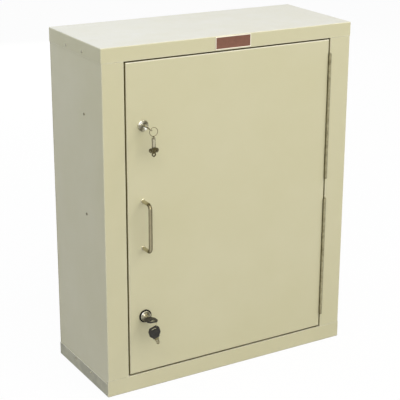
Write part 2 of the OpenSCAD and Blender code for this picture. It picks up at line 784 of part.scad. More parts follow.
// Upper key: blade, stem and a three-lobed bow with the ring hole in its end lobe
module flat_key() {
    lobe_u = stem_len + bow_lobe_r;
    color(bright) union() {
        blade(blade_in, stem_len + 3);
        difference() {
            translate([0, 0, -blade_t / 2]) linear_extrude(blade_t) union() {
                for (v = [-1, 1]) translate([lobe_u, v * (bow_w / 2 - bow_lobe_r)]) circle(r = bow_lobe_r);
                translate([lobe_u, -bow_neck_w / 2]) square([bow_hole_u - lobe_u, bow_neck_w]);
                translate([bow_hole_u, 0]) circle(r = bow_end_r);
                translate([stem_len, -bow_w / 4]) square([bow_lobe_r, bow_w / 2]);
            }
            translate([bow_hole_u, 0, -blade_t]) cylinder(r = bow_hole_r, h = 2 * blade_t);
        }
    }
}

module upper_key() { at_upper_key() flat_key(); }

// Frame of the wire loop: through the bow's hole, centre at loop_v across the bow
module at_loop() {
    at_upper_key() translate([loop_u, loop_v, 0]) rotate([0, 0, 90]) rotate([0, -upper_key_turn, 0])
        children();
}

// Wire loop, twisted into a knot that grips the tip of the spare key's blade
module upper_key_loop() {
    tip_half = blade_w / 2;
    color(bright) at_loop() difference() {
        union() {
            rotate([90, 0, 0]) rotate_extrude() translate([loop_r, 0]) circle(r = loop_wire_r);
            translate([0, 0, -loop_r - knot_len]) cylinder(r = knot_r, h = knot_len);
        }
        block([-tip_half - 1, -blade_t / 2 - 0.05, -loop_r - knot_len - 1],
            [tip_half + 1, blade_t / 2 + 0.05, -loop_r - knot_len + knot_grip + 0.1]);
    }
}

module upper_spare_key() {
    at_loop() translate([0, 0, -loop_r - knot_len + knot_grip - blade_in])
        rotate([0, 90, 0]) rotate([90, 0, 0]) flat_key();
}

// Black head from u = 0 with a slot for the ring across its far end
module key_head() {
    end = head_len;
    neck = blade_w / 2 + 3;
    color(black) difference() {
        translate([0, 0, -head_t / 2]) linear_extrude(head_t)
            polygon([[0, -neck], [6, -neck - 1.5], [0.38 * end, -head_w / 2], [0.8 * end, -head_w / 2],
                [end, -head_w / 2 + 4.5], [end, head_w / 2 - 4.5], [0.8 * end, head_w / 2],
                [0.38 * end, head_w / 2], [6, neck + 1.5], [0, neck]]);
        translate([end - head_bar - slot_h, -slot_w / 2, -head_t]) cube([slot_h, slot_w, 2 * head_t]);
        translate([-1, -blade_w / 2, -blade_t / 2]) cube([11, blade_w, blade_t]);
    }
}

module lower_key_blade() {
    color(bright) at_lower_key() blade(blade_in, head_start + 10);
}

module lower_key_head() {
    at_lower_key() translate([head_start, 0, 0]) key_head();
}

module lower_key_ring() {
    color(bright) translate([ring_x, ring_y, ring_z]) rotate([0, 90, 0])
        rotate_extrude() translate([ring_r, 0]) circle(r = ring_wire_r);
}

// Local frame of the lower spare key: hung on the ring by the low end of its slot, head up
module at_spare() {
    translate([ring_x, ring_y, spare_z]) rotate([0, -spare_tilt, 0]) rotate([0, -90, 0]) rotate([90, 0, 0])
        translate([-head_len + spare_u, ring_v, 0]) children();
}

module lower_spare_blade() {
    color(bright) at_spare() blade(blade_in + head_start, 10);
}

module lower_spare_head() { at_spare() key_head(); }

left_side_panel();
right_side_panel();
back_panel();
top_cap();
base_pan();
cap_rivets();
base_rivets();
standard_rivets();
nameplate();
door_bumpers();
front_left_standard();
rear_left_standard();
front_right_standard();
rear_right_standard();
shelf_clips();
lower_shelf();
middle_shelf();
upper_shelf();
lower_hinge_frame_leaf();
upper_hinge_frame_leaf();
lower_hinge_pin();
upper_hinge_pin();
lower_hinge_door_leaf();
upper_hinge_door_leaf();
door_pan();
door_stiffeners();
door_pull();
pull_screws();
upper_lock_barrel();
upper_lock_nut();
upper_lock_plug();
upper_lock_cam();
upper_cam_screw();
upper_key();
upper_key_loop();
upper_spare_key();
lower_lock_bezel();
lower_lock_barrel();
lower_lock_nut();
lower_lock_plug();
lower_lock_cam();
lower_cam_screw();
lower_key_blade();
lower_key_head();
lower_key_ring();
lower_spare_blade();
lower_spare_head();
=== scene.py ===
"""A wall-hung steel medicine cabinet: its finishes, its close-up hardware and a plain studio.

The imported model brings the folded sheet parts, which get their finishes here. The hardware that is
seen close up is modelled here: locks, keys, rings, pull, screws, nuts, bumpers and nameplate.
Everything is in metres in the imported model's own frame: +Z up, the door faces -Y.
"""

import logging
import math
from collections.abc import Callable, Iterator, Sequence
from contextlib import contextmanager
from dataclasses import dataclass, field
from enum import Enum
from functools import cache

import bmesh
import bpy
from mathutils import Matrix, Vector


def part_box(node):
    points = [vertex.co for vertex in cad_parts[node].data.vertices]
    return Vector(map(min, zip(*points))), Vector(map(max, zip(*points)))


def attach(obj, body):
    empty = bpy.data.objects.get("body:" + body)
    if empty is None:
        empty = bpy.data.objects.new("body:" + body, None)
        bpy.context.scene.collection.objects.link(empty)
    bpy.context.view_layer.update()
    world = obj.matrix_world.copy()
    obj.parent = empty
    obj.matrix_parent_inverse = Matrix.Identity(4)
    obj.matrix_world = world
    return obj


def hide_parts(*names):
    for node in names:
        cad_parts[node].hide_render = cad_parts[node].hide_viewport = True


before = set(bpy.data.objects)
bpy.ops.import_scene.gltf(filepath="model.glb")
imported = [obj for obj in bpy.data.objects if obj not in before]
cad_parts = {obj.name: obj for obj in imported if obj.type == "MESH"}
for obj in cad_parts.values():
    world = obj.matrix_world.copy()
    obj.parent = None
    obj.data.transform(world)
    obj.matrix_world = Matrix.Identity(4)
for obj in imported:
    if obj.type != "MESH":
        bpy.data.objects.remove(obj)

log = logging.getLogger("cabinet")
MM = 0.001
WHITE = (1.0, 1.0, 1.0, 1.0)
# Edges that turn by less are shaded smooth.
SMOOTH_BELOW = math.radians(32)
# Points that are closer than this are one point, or belong to one row.
SAME_POINT = 0.002 * MM
IN_ROW = 0.01 * MM
# How far a cutter or a hidden end reaches past the face that it meets.
OVERSHOOT = 1.0 * MM
# Where nearly all of a soft noise lies.
USUAL_NOISE = (0.3, 0.7)
# The Mix node's sockets for its first and second colour.
MIXED_COLORS = (6, 7)
Color = tuple[float, float, float]
Triple = tuple[float, float, float]
Socket = bpy.types.NodeSocket
Profile = Sequence[tuple[float, float]]


class Axis(Enum):
    """The frame's axes, as unit vectors."""

    X = (1.0, 0.0, 0.0)
    Y = (0.0, 1.0, 0.0)
    Z = (0.0, 0.0, 1.0)

    @property
    def vector(self) -> Vector:
        """The axis as a vector."""
        return Vector(self.value)

    @property
    def upright(self) -> Matrix:
        """The turn that lays the local Z of a primitive along this axis."""
        return Axis.Z.vector.rotation_difference(self.vector).to_matrix().to_4x4()


def linear(color: Color) -> tuple[float, float, float, float]:
    """Change a display colour into the linear colour that sockets hold.

    Args:
        color: Red, green and blue from 0 to 255, as a screen shows them.

    Returns:
        The linear colour with full alpha.
    """
    shares = [c / 255 for c in color]
    parts = [s / 12.92 if s <= 0.04045 else ((s + 0.055) / 1.055) ** 2.4 for s in shares]
    return (parts[0], parts[1], parts[2], 1.0)


def box_of(node: str) -> tuple[Vector, Vector]:
    """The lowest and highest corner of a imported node's box."""
    low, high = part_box(node)
    return Vector(low), Vector(high)


def middle(node: str) -> Vector:
    """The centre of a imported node's box."""
    low, high = box_of(node)
    return (low + high) / 2


def face_centre(node: str, back: bool = False) -> Vector:
    """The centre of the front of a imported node's box, or of its back."""
    low, high = box_of(node)
    return Vector(((low.x + high.x) / 2, (high if back else low).y, (low.z + high.z) / 2))


# --- Shader groups ---


class NodeSheet:
    """A node tree with short calls to add nodes and link them."""

    def __init__(self, tree: bpy.types.NodeTree) -> None:
        """Keep the tree that the calls add nodes to."""
        self.tree = tree

    def add(self, kind: str, settings: dict | None = None, **inputs: object) -> bpy.types.Node:
        """Add a node.

        Args:
            kind: Blender's name of the node type, without its ShaderNode prefix.
            settings: Attributes of the node itself.
            **inputs: Socket values or output sockets; a double underscore stands for a space.

        Returns:
            The new node.
        """
        node = self.tree.nodes.new("ShaderNode" + kind)
        for name, value in (settings or {}).items():
            setattr(node, name, value)
        for name, value in inputs.items():
            self.feed(node.inputs[name.replace("__", " ")], value)
        return node

    def feed(self, socket: Socket, value: object) -> None:
        """Link an output to a socket, or set the socket's own value.

        Args:
            socket: The socket.
            value: An output socket or a value.
        """
        if isinstance(value, Socket):
            self.tree.links.new(value, socket)
        else:
            socket.default_value = value

    def place(self, coordinates: str = "Object") -> Socket:
        """The shaded point's texture coordinates of one kind."""
        return self.add("TexCoord").outputs[coordinates]

    def part(self, vector: Socket, name: str) -> Socket:
        """The X, Y or Z part of a vector."""
        return self.add("SeparateXYZ", None, Vector=vector).outputs[name]

    def noise(self, where: Socket, scale: object, detail: float, roughness: float = 0.5) -> Socket:
        """Soft noise about 0.5, with its coordinates, scale, number of octaves and how strong the finer ones are."""
        return self.add("TexNoise", None, Vector=where, Scale=scale, Detail=detail, Roughness=roughness).outputs["Fac"]

    def math(self, operation: str, first: object, second: object = 0.0) -> Socket:
        """Add a Math node.

        Args:
            operation: The node's operation.
            first: First number or output socket.
            second: Second number or output socket.

        Returns:
            The result's socket.
        """
        node = self.add("Math", {"operation": operation})
        self.feed(node.inputs[0], first)
        self.feed(node.inputs[1], second)
        return node.outputs[0]

    def vector(self, operation: str, first: Socket, second: object = None) -> Socket:
        """Add a Vector Math node.

        Args:
            operation: The node's operation.
            first: First vector's socket.
            second: Second vector or output socket, where the operation takes one.

        Returns:
            The result's socket: a number for a length or a dot product, otherwise a vector.
        """
        node = self.add("VectorMath", {"operation": operation})
        self.feed(node.inputs[0], first)
        if second is not None:
            self.feed(node.inputs[1], second)
        return node.outputs["Value" if operation in ("LENGTH", "DOT_PRODUCT") else "Vector"]

    def spread(self, value: Socket, low: float, high: float, out_low: float = 0.0, out_high: float = 1.0) -> Socket:
        """Map a range of numbers onto another one, clamped.

        Args:
            value: The number's socket.
            low: Where the range starts.
            high: Where the range ends.
            out_low: What the start becomes.
            out_high: What the end becomes.

        Returns:
            The result's socket.
        """
        node = self.add("MapRange", Value=value)
        for name, number in zip(("From Min", "From Max", "To Min", "To Max"), (low, high, out_low, out_high)):
            node.inputs[name].default_value = number
        return node.outputs["Result"]

    def blend(self, share: object, first: object, second: object) -> Socket:
        """Mix two colours.

        Args:
            share: How much of the second colour shows, from 0 to 1.
            first: First colour: a display colour of three numbers, a linear one of four, or an output socket.
            second: Second colour, in the same way.

        Returns:
            The mixed colour's socket.
        """
        node = self.add("Mix", {"data_type": "RGBA"})
        self.feed(node.inputs[0], share)
        for index, color in zip(MIXED_COLORS, (first, second)):
            shown = isinstance(color, tuple) and len(color) == 3
            self.feed(node.inputs[index], linear(color) if shown else color)
        return node.outputs[2]


GroupDrawing = Callable[[NodeSheet, bpy.types.NodeOutputs], dict[str, Socket]]


def shared_group(name: str, **inputs: float) -> Callable[[GroupDrawing], Callable[[], bpy.types.NodeTree]]:
    """Decorate a drawing of nodes, so that its name becomes a call for its node group, which is built once.

    Args:
        name: The group's name.
        **inputs: Its number inputs and their defaults; a double underscore stands for a space.

    Returns:
        The decorator for the drawing, which gets a sheet and the inputs and returns the outputs by name.
    """
    def decorate(draw: GroupDrawing) -> Callable[[], bpy.types.NodeTree]:
        """Wrap one drawing.

        Args:
            draw: Draws the nodes from the group's inputs on and returns its outputs by name.

        Returns:
            The call for the group.
        """
        @cache
        def group() -> bpy.types.NodeTree:
            """Draw the group on the first call.

            Returns:
                The group's tree.
            """
            tree = bpy.data.node_groups.new(name, "ShaderNodeTree")
            for label, value in inputs.items():
                socket = tree.interface.new_socket(label.replace("__", " "), in_out="INPUT",
                                                   socket_type="NodeSocketFloat")
                socket.default_value = value
            sheet = NodeSheet(tree)
            results = draw(sheet, tree.nodes.new("NodeGroupInput").outputs)
            for label in results:
                tree.interface.new_socket(label, in_out="OUTPUT", socket_type="NodeSocketFloat")
            out = tree.nodes.new("NodeGroupOutput")
            for label, result in results.items():
                sheet.feed(out.inputs[label], result)
            return tree
        return group
    return decorate


@shared_group("Orange peel", Ripple__scale=420.0, Wave__scale=7.0, Wave__height=0.5)
def orange_peel(sheet: NodeSheet, given: bpy.types.NodeOutputs) -> dict[str, Socket]:
    """Sprayed paint: fine ripples, the slow waves of thin sheet, faint blotches and specks.

    Args:
        sheet: The group's sheet.
        given: The group's inputs.

    Returns:
        The outputs by name.
    """
    where = sheet.place()
    ripple = sheet.noise(where, given["Ripple scale"], detail=3.0)
    wave = sheet.noise(where, given["Wave scale"], detail=1.0)
    speck = sheet.noise(where, 260.0, detail=2.0)
    return {"Height": sheet.math("ADD", ripple, sheet.math("MULTIPLY", wave, given["Wave height"])),
            "Blotch": sheet.noise(where, 5.0, detail=4.0, roughness=0.6),
            "Speck": sheet.spread(speck, 0.68, 0.76)}


@shared_group("Edge rub and highlight", Width=0.001, Break__scale=90.0)
def edge_rub_and_highlight(sheet: NodeSheet, given: bpy.types.NodeOutputs) -> dict[str, Socket]:
    """Mask of outer edges and corners, broken up by noise, where hands and tools rub; the lighter tone it brings is
    partly a painted highlight along them.

    Args:
        sheet: The group's sheet.
        given: The group's inputs.

    Returns:
        The outputs by name.
    """
    rounded = sheet.add("Bevel", {"samples": 4}, Radius=given["Width"]).outputs["Normal"]
    turn = sheet.vector("DOT_PRODUCT", rounded, sheet.add("NewGeometry").outputs["Normal"])
    patches = sheet.spread(sheet.noise(sheet.place(), given["Break scale"], detail=4.0), 0.35, 0.55, 0.25, 1.0)
    return {"Mask": sheet.math("MULTIPLY", sheet.spread(turn, 0.995, 0.9), patches)}


@shared_group("Drawn grain", Across__X=900.0, Across__Y=900.0, Across__Z=20.0)
def drawn_grain(sheet: NodeSheet, given: bpy.types.NodeOutputs) -> dict[str, Socket]:
    """Fine lines of drawn or brushed metal along one axis, with blotches of handling.

    Args:
        sheet: The group's sheet.
        given: The group's inputs.

    Returns:
        The outputs by name.
    """
    where = sheet.place()
    scale = sheet.add("CombineXYZ", None, X=given["Across X"], Y=given["Across Y"], Z=given["Across Z"])
    stretched = sheet.vector("MULTIPLY", where, scale.outputs[0])
    return {"Lines": sheet.noise(stretched, 1.0, detail=3.0),
            "Handling": sheet.noise(where, 120.0, detail=5.0, roughness=0.65)}


@shared_group("Dust and top light", Amount=1.0)
def dust_and_top_light(sheet: NodeSheet, given: bpy.types.NodeOutputs) -> dict[str, Socket]:
    """Mask of faces that look up, where a little dust settles unevenly and a painted light lightens them as light from
    above would.

    Args:
        sheet: The group's sheet.
        given: The group's inputs.

    Returns:
        The outputs by name.
    """
    up = sheet.spread(sheet.part(sheet.add("NewGeometry").outputs["Normal"], "Z"), 0.5, 1.0)
    uneven = sheet.spread(sheet.noise(sheet.place(), 14.0, detail=6.0, roughness=0.7), 0.3, 0.7, 0.72, 1.0)
    return {"Mask": sheet.math("MULTIPLY", sheet.math("MULTIPLY", up, uneven), given["Amount"])}


@shared_group("Crevice", Reach=0.012)
def crevice(sheet: NodeSheet, given: bpy.types.NodeOutputs) -> dict[str, Socket]:
    """Mask of narrow gaps and tight inner corners, where shade is painted dark because little light reaches in."""
    open_share = sheet.add("AmbientOcclusion", {"samples": 8}, Distance=given["Reach"]).outputs["AO"]
    return {"Mask": sheet.spread(open_share, 0.5, 0.2)}


@shared_group("Fold highlight", Upright__share=0.25)
def fold_highlight(sheet: NodeSheet, given: bpy.types.NodeOutputs) -> dict[str, Socket]:
    """Mask of bent folds, where the face is square to none of the sheet's axes, for a painted highlight with a little
    rubbed wear; strongest where it looks up.

    Args:
        sheet: The group's sheet.
        given: The group's inputs.

    Returns:
        The outputs by name.
    """
    facing = sheet.add("SeparateXYZ", None, Vector=sheet.place("Normal"))
    sizes = [sheet.math("ABSOLUTE", facing.outputs[part]) for part in "XYZ"]
    square = sheet.math("MAXIMUM", sheet.math("MAXIMUM", sizes[0], sizes[1]), sizes[2])
    looks_up = sheet.math("MAXIMUM", sheet.spread(facing.outputs["Z"], 0.1, 0.4), given["Upright share"])
    return {"Mask": sheet.math("MULTIPLY", sheet.spread(square, 0.985, 0.93), looks_up)}


# --- Finishes ---


class FinishSheet(NodeSheet):
    """The node sheet of one material, with its Principled shader at hand."""

    def __init__(self, name: str) -> None:
        """Start a new material.

        Args:
            name: Its name.
        """
        self.material = bpy.data.materials.new(name)
        self.material.use_nodes = True
        super().__init__(self.material.node_tree)
        self.shader = self.tree.nodes["Principled BSDF"]

    def group(self, tree: bpy.types.NodeTree, **inputs: object) -> bpy.types.NodeOutputs:
        """Place a shared group with values for its inputs, named as add() names them, and give its outputs."""
        return self.add("Group", {"node_tree": tree}, **inputs).outputs

    def paint(self, **inputs: object) -> None:
        """Feed the shader's own inputs, named as add() names them."""
        for name, value in inputs.items():
            self.feed(self.shader.inputs[name.replace("__", " ")], value)

    def gloss(self, noise: Socket, smooth: float, rough: float) -> Socket:
        """Spread a noise over a range of roughness."""
        return self.spread(noise, *USUAL_NOISE, smooth, rough)

    def bump(self, height: Socket, strength: float, distance: float) -> bpy.types.Material:
        """Feed the shader's normal from a height, as the finish's last step.

        Args:
            height: The height's socket.
            strength: How much of the bump shows.
            distance: Depth of the full height, in metres.

        Returns:
            The finished material.
        """
        node = self.add("Bump", None, Height=height, Strength=strength, Distance=distance)
        self.paint(Normal=node.outputs["Normal"])
        return self.material


@dataclass(frozen=True)
class EnamelFinish:
    """Baked enamel on sheet steel: orange peel, faint blotches, rubbed edges and folds with a painted highlight, dust
    with painted light on the top, and painted shade in the crevices and, where asked, on the side faces.
    """

    name: str = "cream_enamel"
    color: Color = (215, 210, 177)
    shade: Color = (212, 207, 172)
    # Of the next four colours: the first is rubbed wear and the painted highlight on edges and folds, the second dust
    # and painted light on the top, the third painted shade in crevices, the fourth painted shade on side faces.
    rub_and_highlight: Color = (240, 236, 214)
    dusty_top_light: Color = (232, 230, 222)
    crevice_shade: Color = (128, 116, 44)
    side_shade: Color = (156, 154, 127)
    roughness: float = 0.36
    rub_width: float = 2.4 * MM
    wave_height: float = 2.0
    peel_depth: float = 0.06 * MM
    speckled: float = 0.25
    # The shares below, save the dulling of gloss, are of the painted edge and fold highlights, the dust and painted top
    # light, the painted crevice shade and the painted side shade.
    rub_and_highlight_share: float = 0.85
    fold_highlight_share: float = 0.75
    dust_and_top_light_amount: float = 0.85
    shaded_crevice: float = 0.95
    dulled: float = 0.4
    shaded_sides: float = 0.0

    def material(self) -> bpy.types.Material:
        """Build the material.

        Returns:
            The material.
        """
        sheet = FinishSheet(self.name)
        peel = sheet.group(orange_peel(), Wave__height=self.wave_height)
        rub_and_highlight = sheet.group(edge_rub_and_highlight(), Width=self.rub_width)["Mask"]
        dusty_top_light = sheet.group(dust_and_top_light(), Amount=self.dust_and_top_light_amount)["Mask"]
        shaded_crevice = sheet.group(crevice())["Mask"]
        lit_folds = sheet.group(fold_highlight())["Mask"]
        tone = sheet.blend(sheet.spread(peel["Blotch"], 0.35, 0.65), self.color, self.shade)
        # Painted highlight on rubbed edges and on folds.
        for mask, share, color in ((peel["Speck"], self.speckled, self.shade), (rub_and_highlight, self.rub_and_highlight_share, self.rub_and_highlight),
                                   (lit_folds, self.fold_highlight_share, self.rub_and_highlight)):
            tone = sheet.blend(sheet.math("MULTIPLY", mask, share), tone, color)
        # Dust, and painted light on the faces that look up.
        tone = sheet.blend(dusty_top_light, tone, self.dusty_top_light)
        # Painted shade on the side faces.
        if self.shaded_sides:
            tone = sheet.blend(self.side_shade_patches(sheet), tone, self.side_shade)
        # Painted shade in the crevices.
        tone = sheet.blend(sheet.math("MULTIPLY", shaded_crevice, self.shaded_crevice), tone, self.crevice_shade)
        gloss = sheet.gloss(peel["Blotch"], self.roughness - 0.05, self.roughness + 0.07)
        dulled = sheet.math("MULTIPLY", sheet.math("MAXIMUM", dusty_top_light, shaded_crevice), self.dulled)
        sheet.paint(Base__Color=tone, Roughness=sheet.math("ADD", gloss, dulled))
        return sheet.bump(peel["Height"], 0.35, self.peel_depth)

    def side_shade_patches(self, sheet: FinishSheet) -> Socket:
        """Mask the faces that look left and right, where shade is painted in patches.

        Args:
            sheet: The material's sheet.

        Returns:
            The mask's socket.
        """
        sideways = sheet.math("ABSOLUTE", sheet.part(sheet.place("Normal"), "X"))
        patches = sheet.spread(sheet.noise(sheet.place(), 38.0, detail=5.0), 0.3, 0.6, 0.55, 1.0)
        return sheet.math("MULTIPLY", sheet.spread(sideways, 0.8, 0.98, 0.0, self.shaded_sides), patches)


@dataclass(frozen=True)
class MetalFinish:
    """Bare or plated metal with drawn lines, handling marks and bright rubbed edges that are partly a painted
    highlight; a grip gets painted shade on its flanks and a painted reflection on its legs, and a blade painted
    highlights in its grooves.
    """

    name: str
    color: Color
    # The second colour is tarnish and, on a grip's flanks, painted shade.
    tarnish_and_shade: Color
    bright: Color
    roughness: float
    line_depth: float = 0.02 * MM
    rub_width: float = 0.5 * MM
    rub_and_highlight_share: float = 0.8
    marked: float = 1.0
    # A grip's face that keeps its painted light, and how far back the painted shade of its flanks reaches.
    lit_face: Triple | None = None
    flank_shade_until: float = 0.0
    groove_highlight_place: tuple[float, float] | None = None
    groove_from_centre: float = 1.7 * MM

    def material(self) -> bpy.types.Material:
        """Build the material.

        Returns:
            The material.
        """
        sheet = FinishSheet(self.name)
        grain = sheet.group(drawn_grain())
        rub_and_highlight = sheet.group(edge_rub_and_highlight(), Width=self.rub_width)["Mask"]
        tone = sheet.blend(sheet.spread(grain["Handling"], 0.35, 0.7, 0.0, self.marked), self.color, self.tarnish_and_shade)
        # Painted shade on the grip's flanks and a painted reflection of the door on its legs.
        if self.lit_face:
            flank, leg = self.painted_flanks_and_legs(sheet)
            tone = sheet.blend(leg, sheet.blend(flank, tone, self.tarnish_and_shade), self.bright)
        # Painted highlights in the blade's grooves.
        if self.groove_highlight_place:
            tone = sheet.blend(self.groove_highlights(sheet), tone, self.bright)
        tone = sheet.blend(sheet.math("MULTIPLY", rub_and_highlight, self.rub_and_highlight_share), tone, self.bright)
        gloss = sheet.gloss(grain["Lines"], 0.75 * self.roughness, 1.3 * self.roughness)
        sheet.paint(Base__Color=tone, Metallic=1.0, Roughness=gloss)
        return sheet.bump(grain["Lines"], 0.25, self.line_depth)

    def groove_highlights(self, sheet: FinishSheet) -> Socket:
        """Mask the milled grooves of an upright blade above the bow, where highlights are painted.

        Args:
            sheet: The material's sheet.

        Returns:
            The mask's socket.
        """
        across, start = self.groove_highlight_place
        where = sheet.add("SeparateXYZ", None, Vector=sheet.place()).outputs
        side = sheet.math("ABSOLUTE", sheet.math("SUBTRACT", where["X"], across))
        off = sheet.math("ABSOLUTE", sheet.math("SUBTRACT", side, self.groove_from_centre))
        near = sheet.spread(off, 1.0 * MM, 0.7 * MM, 0.0, 0.9)
        return sheet.math("MULTIPLY", near, sheet.spread(where["Z"], start, start + 2.0 * MM))

    def painted_flanks_and_legs(self, sheet: FinishSheet) -> tuple[Socket, Socket]:
        """Mask the flanks of a grip, where shade is painted, and its legs, where a light reflection of the door is
        painted.

        Args:
            sheet: The material's sheet.

        Returns:
            The masks of the flanks and of the legs.
        """
        facing = sheet.math("ABSOLUTE", sheet.vector("DOT_PRODUCT", sheet.place("Normal"), self.lit_face))
        depth = sheet.part(sheet.place(), "Y")
        on_grip = sheet.spread(depth, self.flank_shade_until, self.flank_shade_until + 4.0 * MM, 1.0, 0.0)
        leg = sheet.spread(depth, self.flank_shade_until, self.flank_shade_until + 10.0 * MM, 0.0, 0.35)
        return sheet.math("MULTIPLY", sheet.spread(facing, 0.95, 0.7, 0.0, 0.95), on_grip), leg


@dataclass(frozen=True)
class ZincFinish:
    """Zinc plate: pale crystals that catch the light differently, dulled in places."""

    name: str = "zinc_plate"
    color: Color = (186, 187, 184)
    dull: Color = (150, 151, 147)
    roughness: float = 0.36
    crystal_scale: float = 130.0
    crystal_contrast: float = 0.7
    mark_depth: float = 0.03 * MM

    def material(self) -> bpy.types.Material:
        """Build the material.

        Returns:
            The material.
        """
        sheet = FinishSheet(self.name)
        crystals = sheet.add("TexVoronoi", None, Vector=sheet.place(), Scale=self.crystal_scale)
        handling = sheet.group(drawn_grain())["Handling"]
        share = sheet.add("SeparateColor", None, Color=crystals.outputs["Color"]).outputs[0]
        tone = sheet.blend(sheet.math("MULTIPLY", share, self.crystal_contrast), self.color, self.dull)
        tone = sheet.blend(sheet.spread(handling, 0.5, 0.8, 0.0, 0.6), tone, self.dull)
        gloss = sheet.spread(share, 0.0, 1.0, self.roughness - 0.08, self.roughness + 0.12)
        sheet.paint(Base__Color=tone, Metallic=1.0, Roughness=gloss)
        return sheet.bump(handling, 0.2, self.mark_depth)


@dataclass(frozen=True)
class TurnedFinish:
    """Nickel-plated faces turned on a lathe: fine rings about one axis, a soft cloud of wear, and painted highlight
    wedges and painted dark wedges across the face.
    """

    name: str
    centre: Triple
    highlight_edge: tuple[float, float]
    color: Color = (176, 172, 150)
    # The next colour is wear and also paints the dark wedges; the one after paints the highlight wedges and the rubbed
    # edges.
    worn: Color = (96, 90, 66)
    polished_highlight: Color = (250, 249, 242)
    # Direction of the painted highlight wedges across the face.
    highlight_along: Triple = (-0.74, 0.0, 0.67)
    roughness: float = 0.24
    streaking: float = 0.85
    ring_scale: float = 2600.0
    ring_depth: float = 0.02 * MM
    rub_width: float = 0.4 * MM
    rub_and_highlight_share: float = 0.5

    def material(self) -> bpy.types.Material:
        """Build the material.

        Returns:
            The material.
        """
        sheet = FinishSheet(self.name)
        where = sheet.place()
        flat = sheet.vector("MULTIPLY", sheet.vector("SUBTRACT", where, self.centre), (1.0, 0.0, 1.0))
        round_the_axis = sheet.vector("CROSS_PRODUCT", flat, Axis.Y.value)
        rings = sheet.add("TexNoise", {"noise_dimensions": "1D"}, W=sheet.vector("LENGTH", flat),
                          Scale=self.ring_scale, Detail=2.0).outputs["Fac"]
        rub_and_highlight = sheet.group(edge_rub_and_highlight(), Width=self.rub_width)["Mask"]
        highlight_wedge, dark_wedge = self.highlight_bands(sheet, flat)
        worn = sheet.spread(sheet.noise(where, 160.0, detail=5.0), 0.45, 0.7, 0.0, 0.6)
        # Painted dark wedges, then painted highlight wedges.
        tone = sheet.blend(dark_wedge, sheet.blend(worn, self.color, self.worn), self.worn)
        tone = sheet.blend(highlight_wedge, tone, self.polished_highlight)
        tone = sheet.blend(sheet.math("MULTIPLY", rub_and_highlight, self.rub_and_highlight_share), tone, self.polished_highlight)
        gloss = sheet.gloss(rings, 0.7 * self.roughness, 1.5 * self.roughness)
        sheet.paint(Base__Color=tone, Metallic=1.0, Roughness=gloss, Anisotropic=self.streaking, Tangent=round_the_axis)
        return sheet.bump(rings, 0.3, self.ring_depth)

    def highlight_bands(self, sheet: FinishSheet, flat: Socket) -> tuple[Socket, Socket]:
        """Mask the wedges of a turned face where a highlight is painted and those where it is painted dark.

        Args:
            sheet: The material's sheet.
            flat: The point's offset from the lathe's axis.

        Returns:
            The masks of the bright and the dull wedges.
        """
        along = sheet.vector("DOT_PRODUCT", sheet.vector("NORMALIZE", flat), self.highlight_along)
        share = sheet.math("ABSOLUTE", along)
        return sheet.spread(share, *self.highlight_edge, 0.0, 0.95), sheet.spread(share, 0.65, 0.2, 0.0, 0.8)


@dataclass(frozen=True)
class MouldedFinish:
    """Moulded plastic or rubber: fine grain, worn edges and a soft sheen."""

    name: str
    color: Color
    worn: Color
    roughness: float
    gloss: float = 0.5
    grain_scale: float = 1500.0
    grain_height: float = 0.02 * MM
    rub_width: float = 0.5 * MM
    rub_and_highlight_share: float = 0.6

    def material(self) -> bpy.types.Material:
        """Build the material.

        Returns:
            The material.
        """
        sheet = FinishSheet(self.name)
        where = sheet.place()
        grain = sheet.noise(where, self.grain_scale, detail=2.0)
        smear = sheet.noise(where, 110.0, detail=4.0)
        rub_and_highlight = sheet.math("MULTIPLY", sheet.group(edge_rub_and_highlight(), Width=self.rub_width)["Mask"], self.rub_and_highlight_share)
        share = sheet.math("ADD", rub_and_highlight, sheet.spread(smear, 0.5, 0.8, 0.0, 0.4))
        sheet.paint(Base__Color=sheet.blend(share, self.color, self.worn), Specular__IOR__Level=self.gloss,
                    Roughness=sheet.gloss(smear, self.roughness - 0.06, self.roughness + 0.1))
        return sheet.bump(grain, 0.35, self.grain_height)


@dataclass(frozen=True)
class PlateFinish:
    """Etched nameplate: a reddish brown field between bare metal edges, split by depth."""

    rim_y: float
    name: str = "plate_brown"
    field_color: Color = (143, 92, 75)
    field_dark: Color = (106, 72, 54)
    rim_color: Color = (246, 240, 220)
    rim_start: float = 0.12 * MM
    rim_full: float = 0.05 * MM
    field_metal: float = 0.15
    smooth: float = 0.26
    rough: float = 0.42
    grain_depth: float = 0.02 * MM

    def material(self) -> bpy.types.Material:
        """Build the material.

        Returns:
            The material.
        """
        sheet = FinishSheet(self.name)
        depth = sheet.part(sheet.place(), "Y")
        rim = sheet.spread(depth, self.rim_y + self.rim_start, self.rim_y + self.rim_full)
        grain = sheet.group(drawn_grain(), Across__X=30.0, Across__Y=900.0, Across__Z=900.0)
        field_tone = sheet.blend(grain["Handling"], self.field_color, self.field_dark)
        sheet.paint(Base__Color=sheet.blend(rim, field_tone, self.rim_color),
                    Metallic=sheet.spread(rim, 0.0, 1.0, self.field_metal, 1.0),
                    Roughness=sheet.gloss(grain["Lines"], self.smooth, self.rough))
        return sheet.bump(grain["Lines"], 0.3, self.grain_depth)


# --- Bench: shaping a piece from a primitive ---


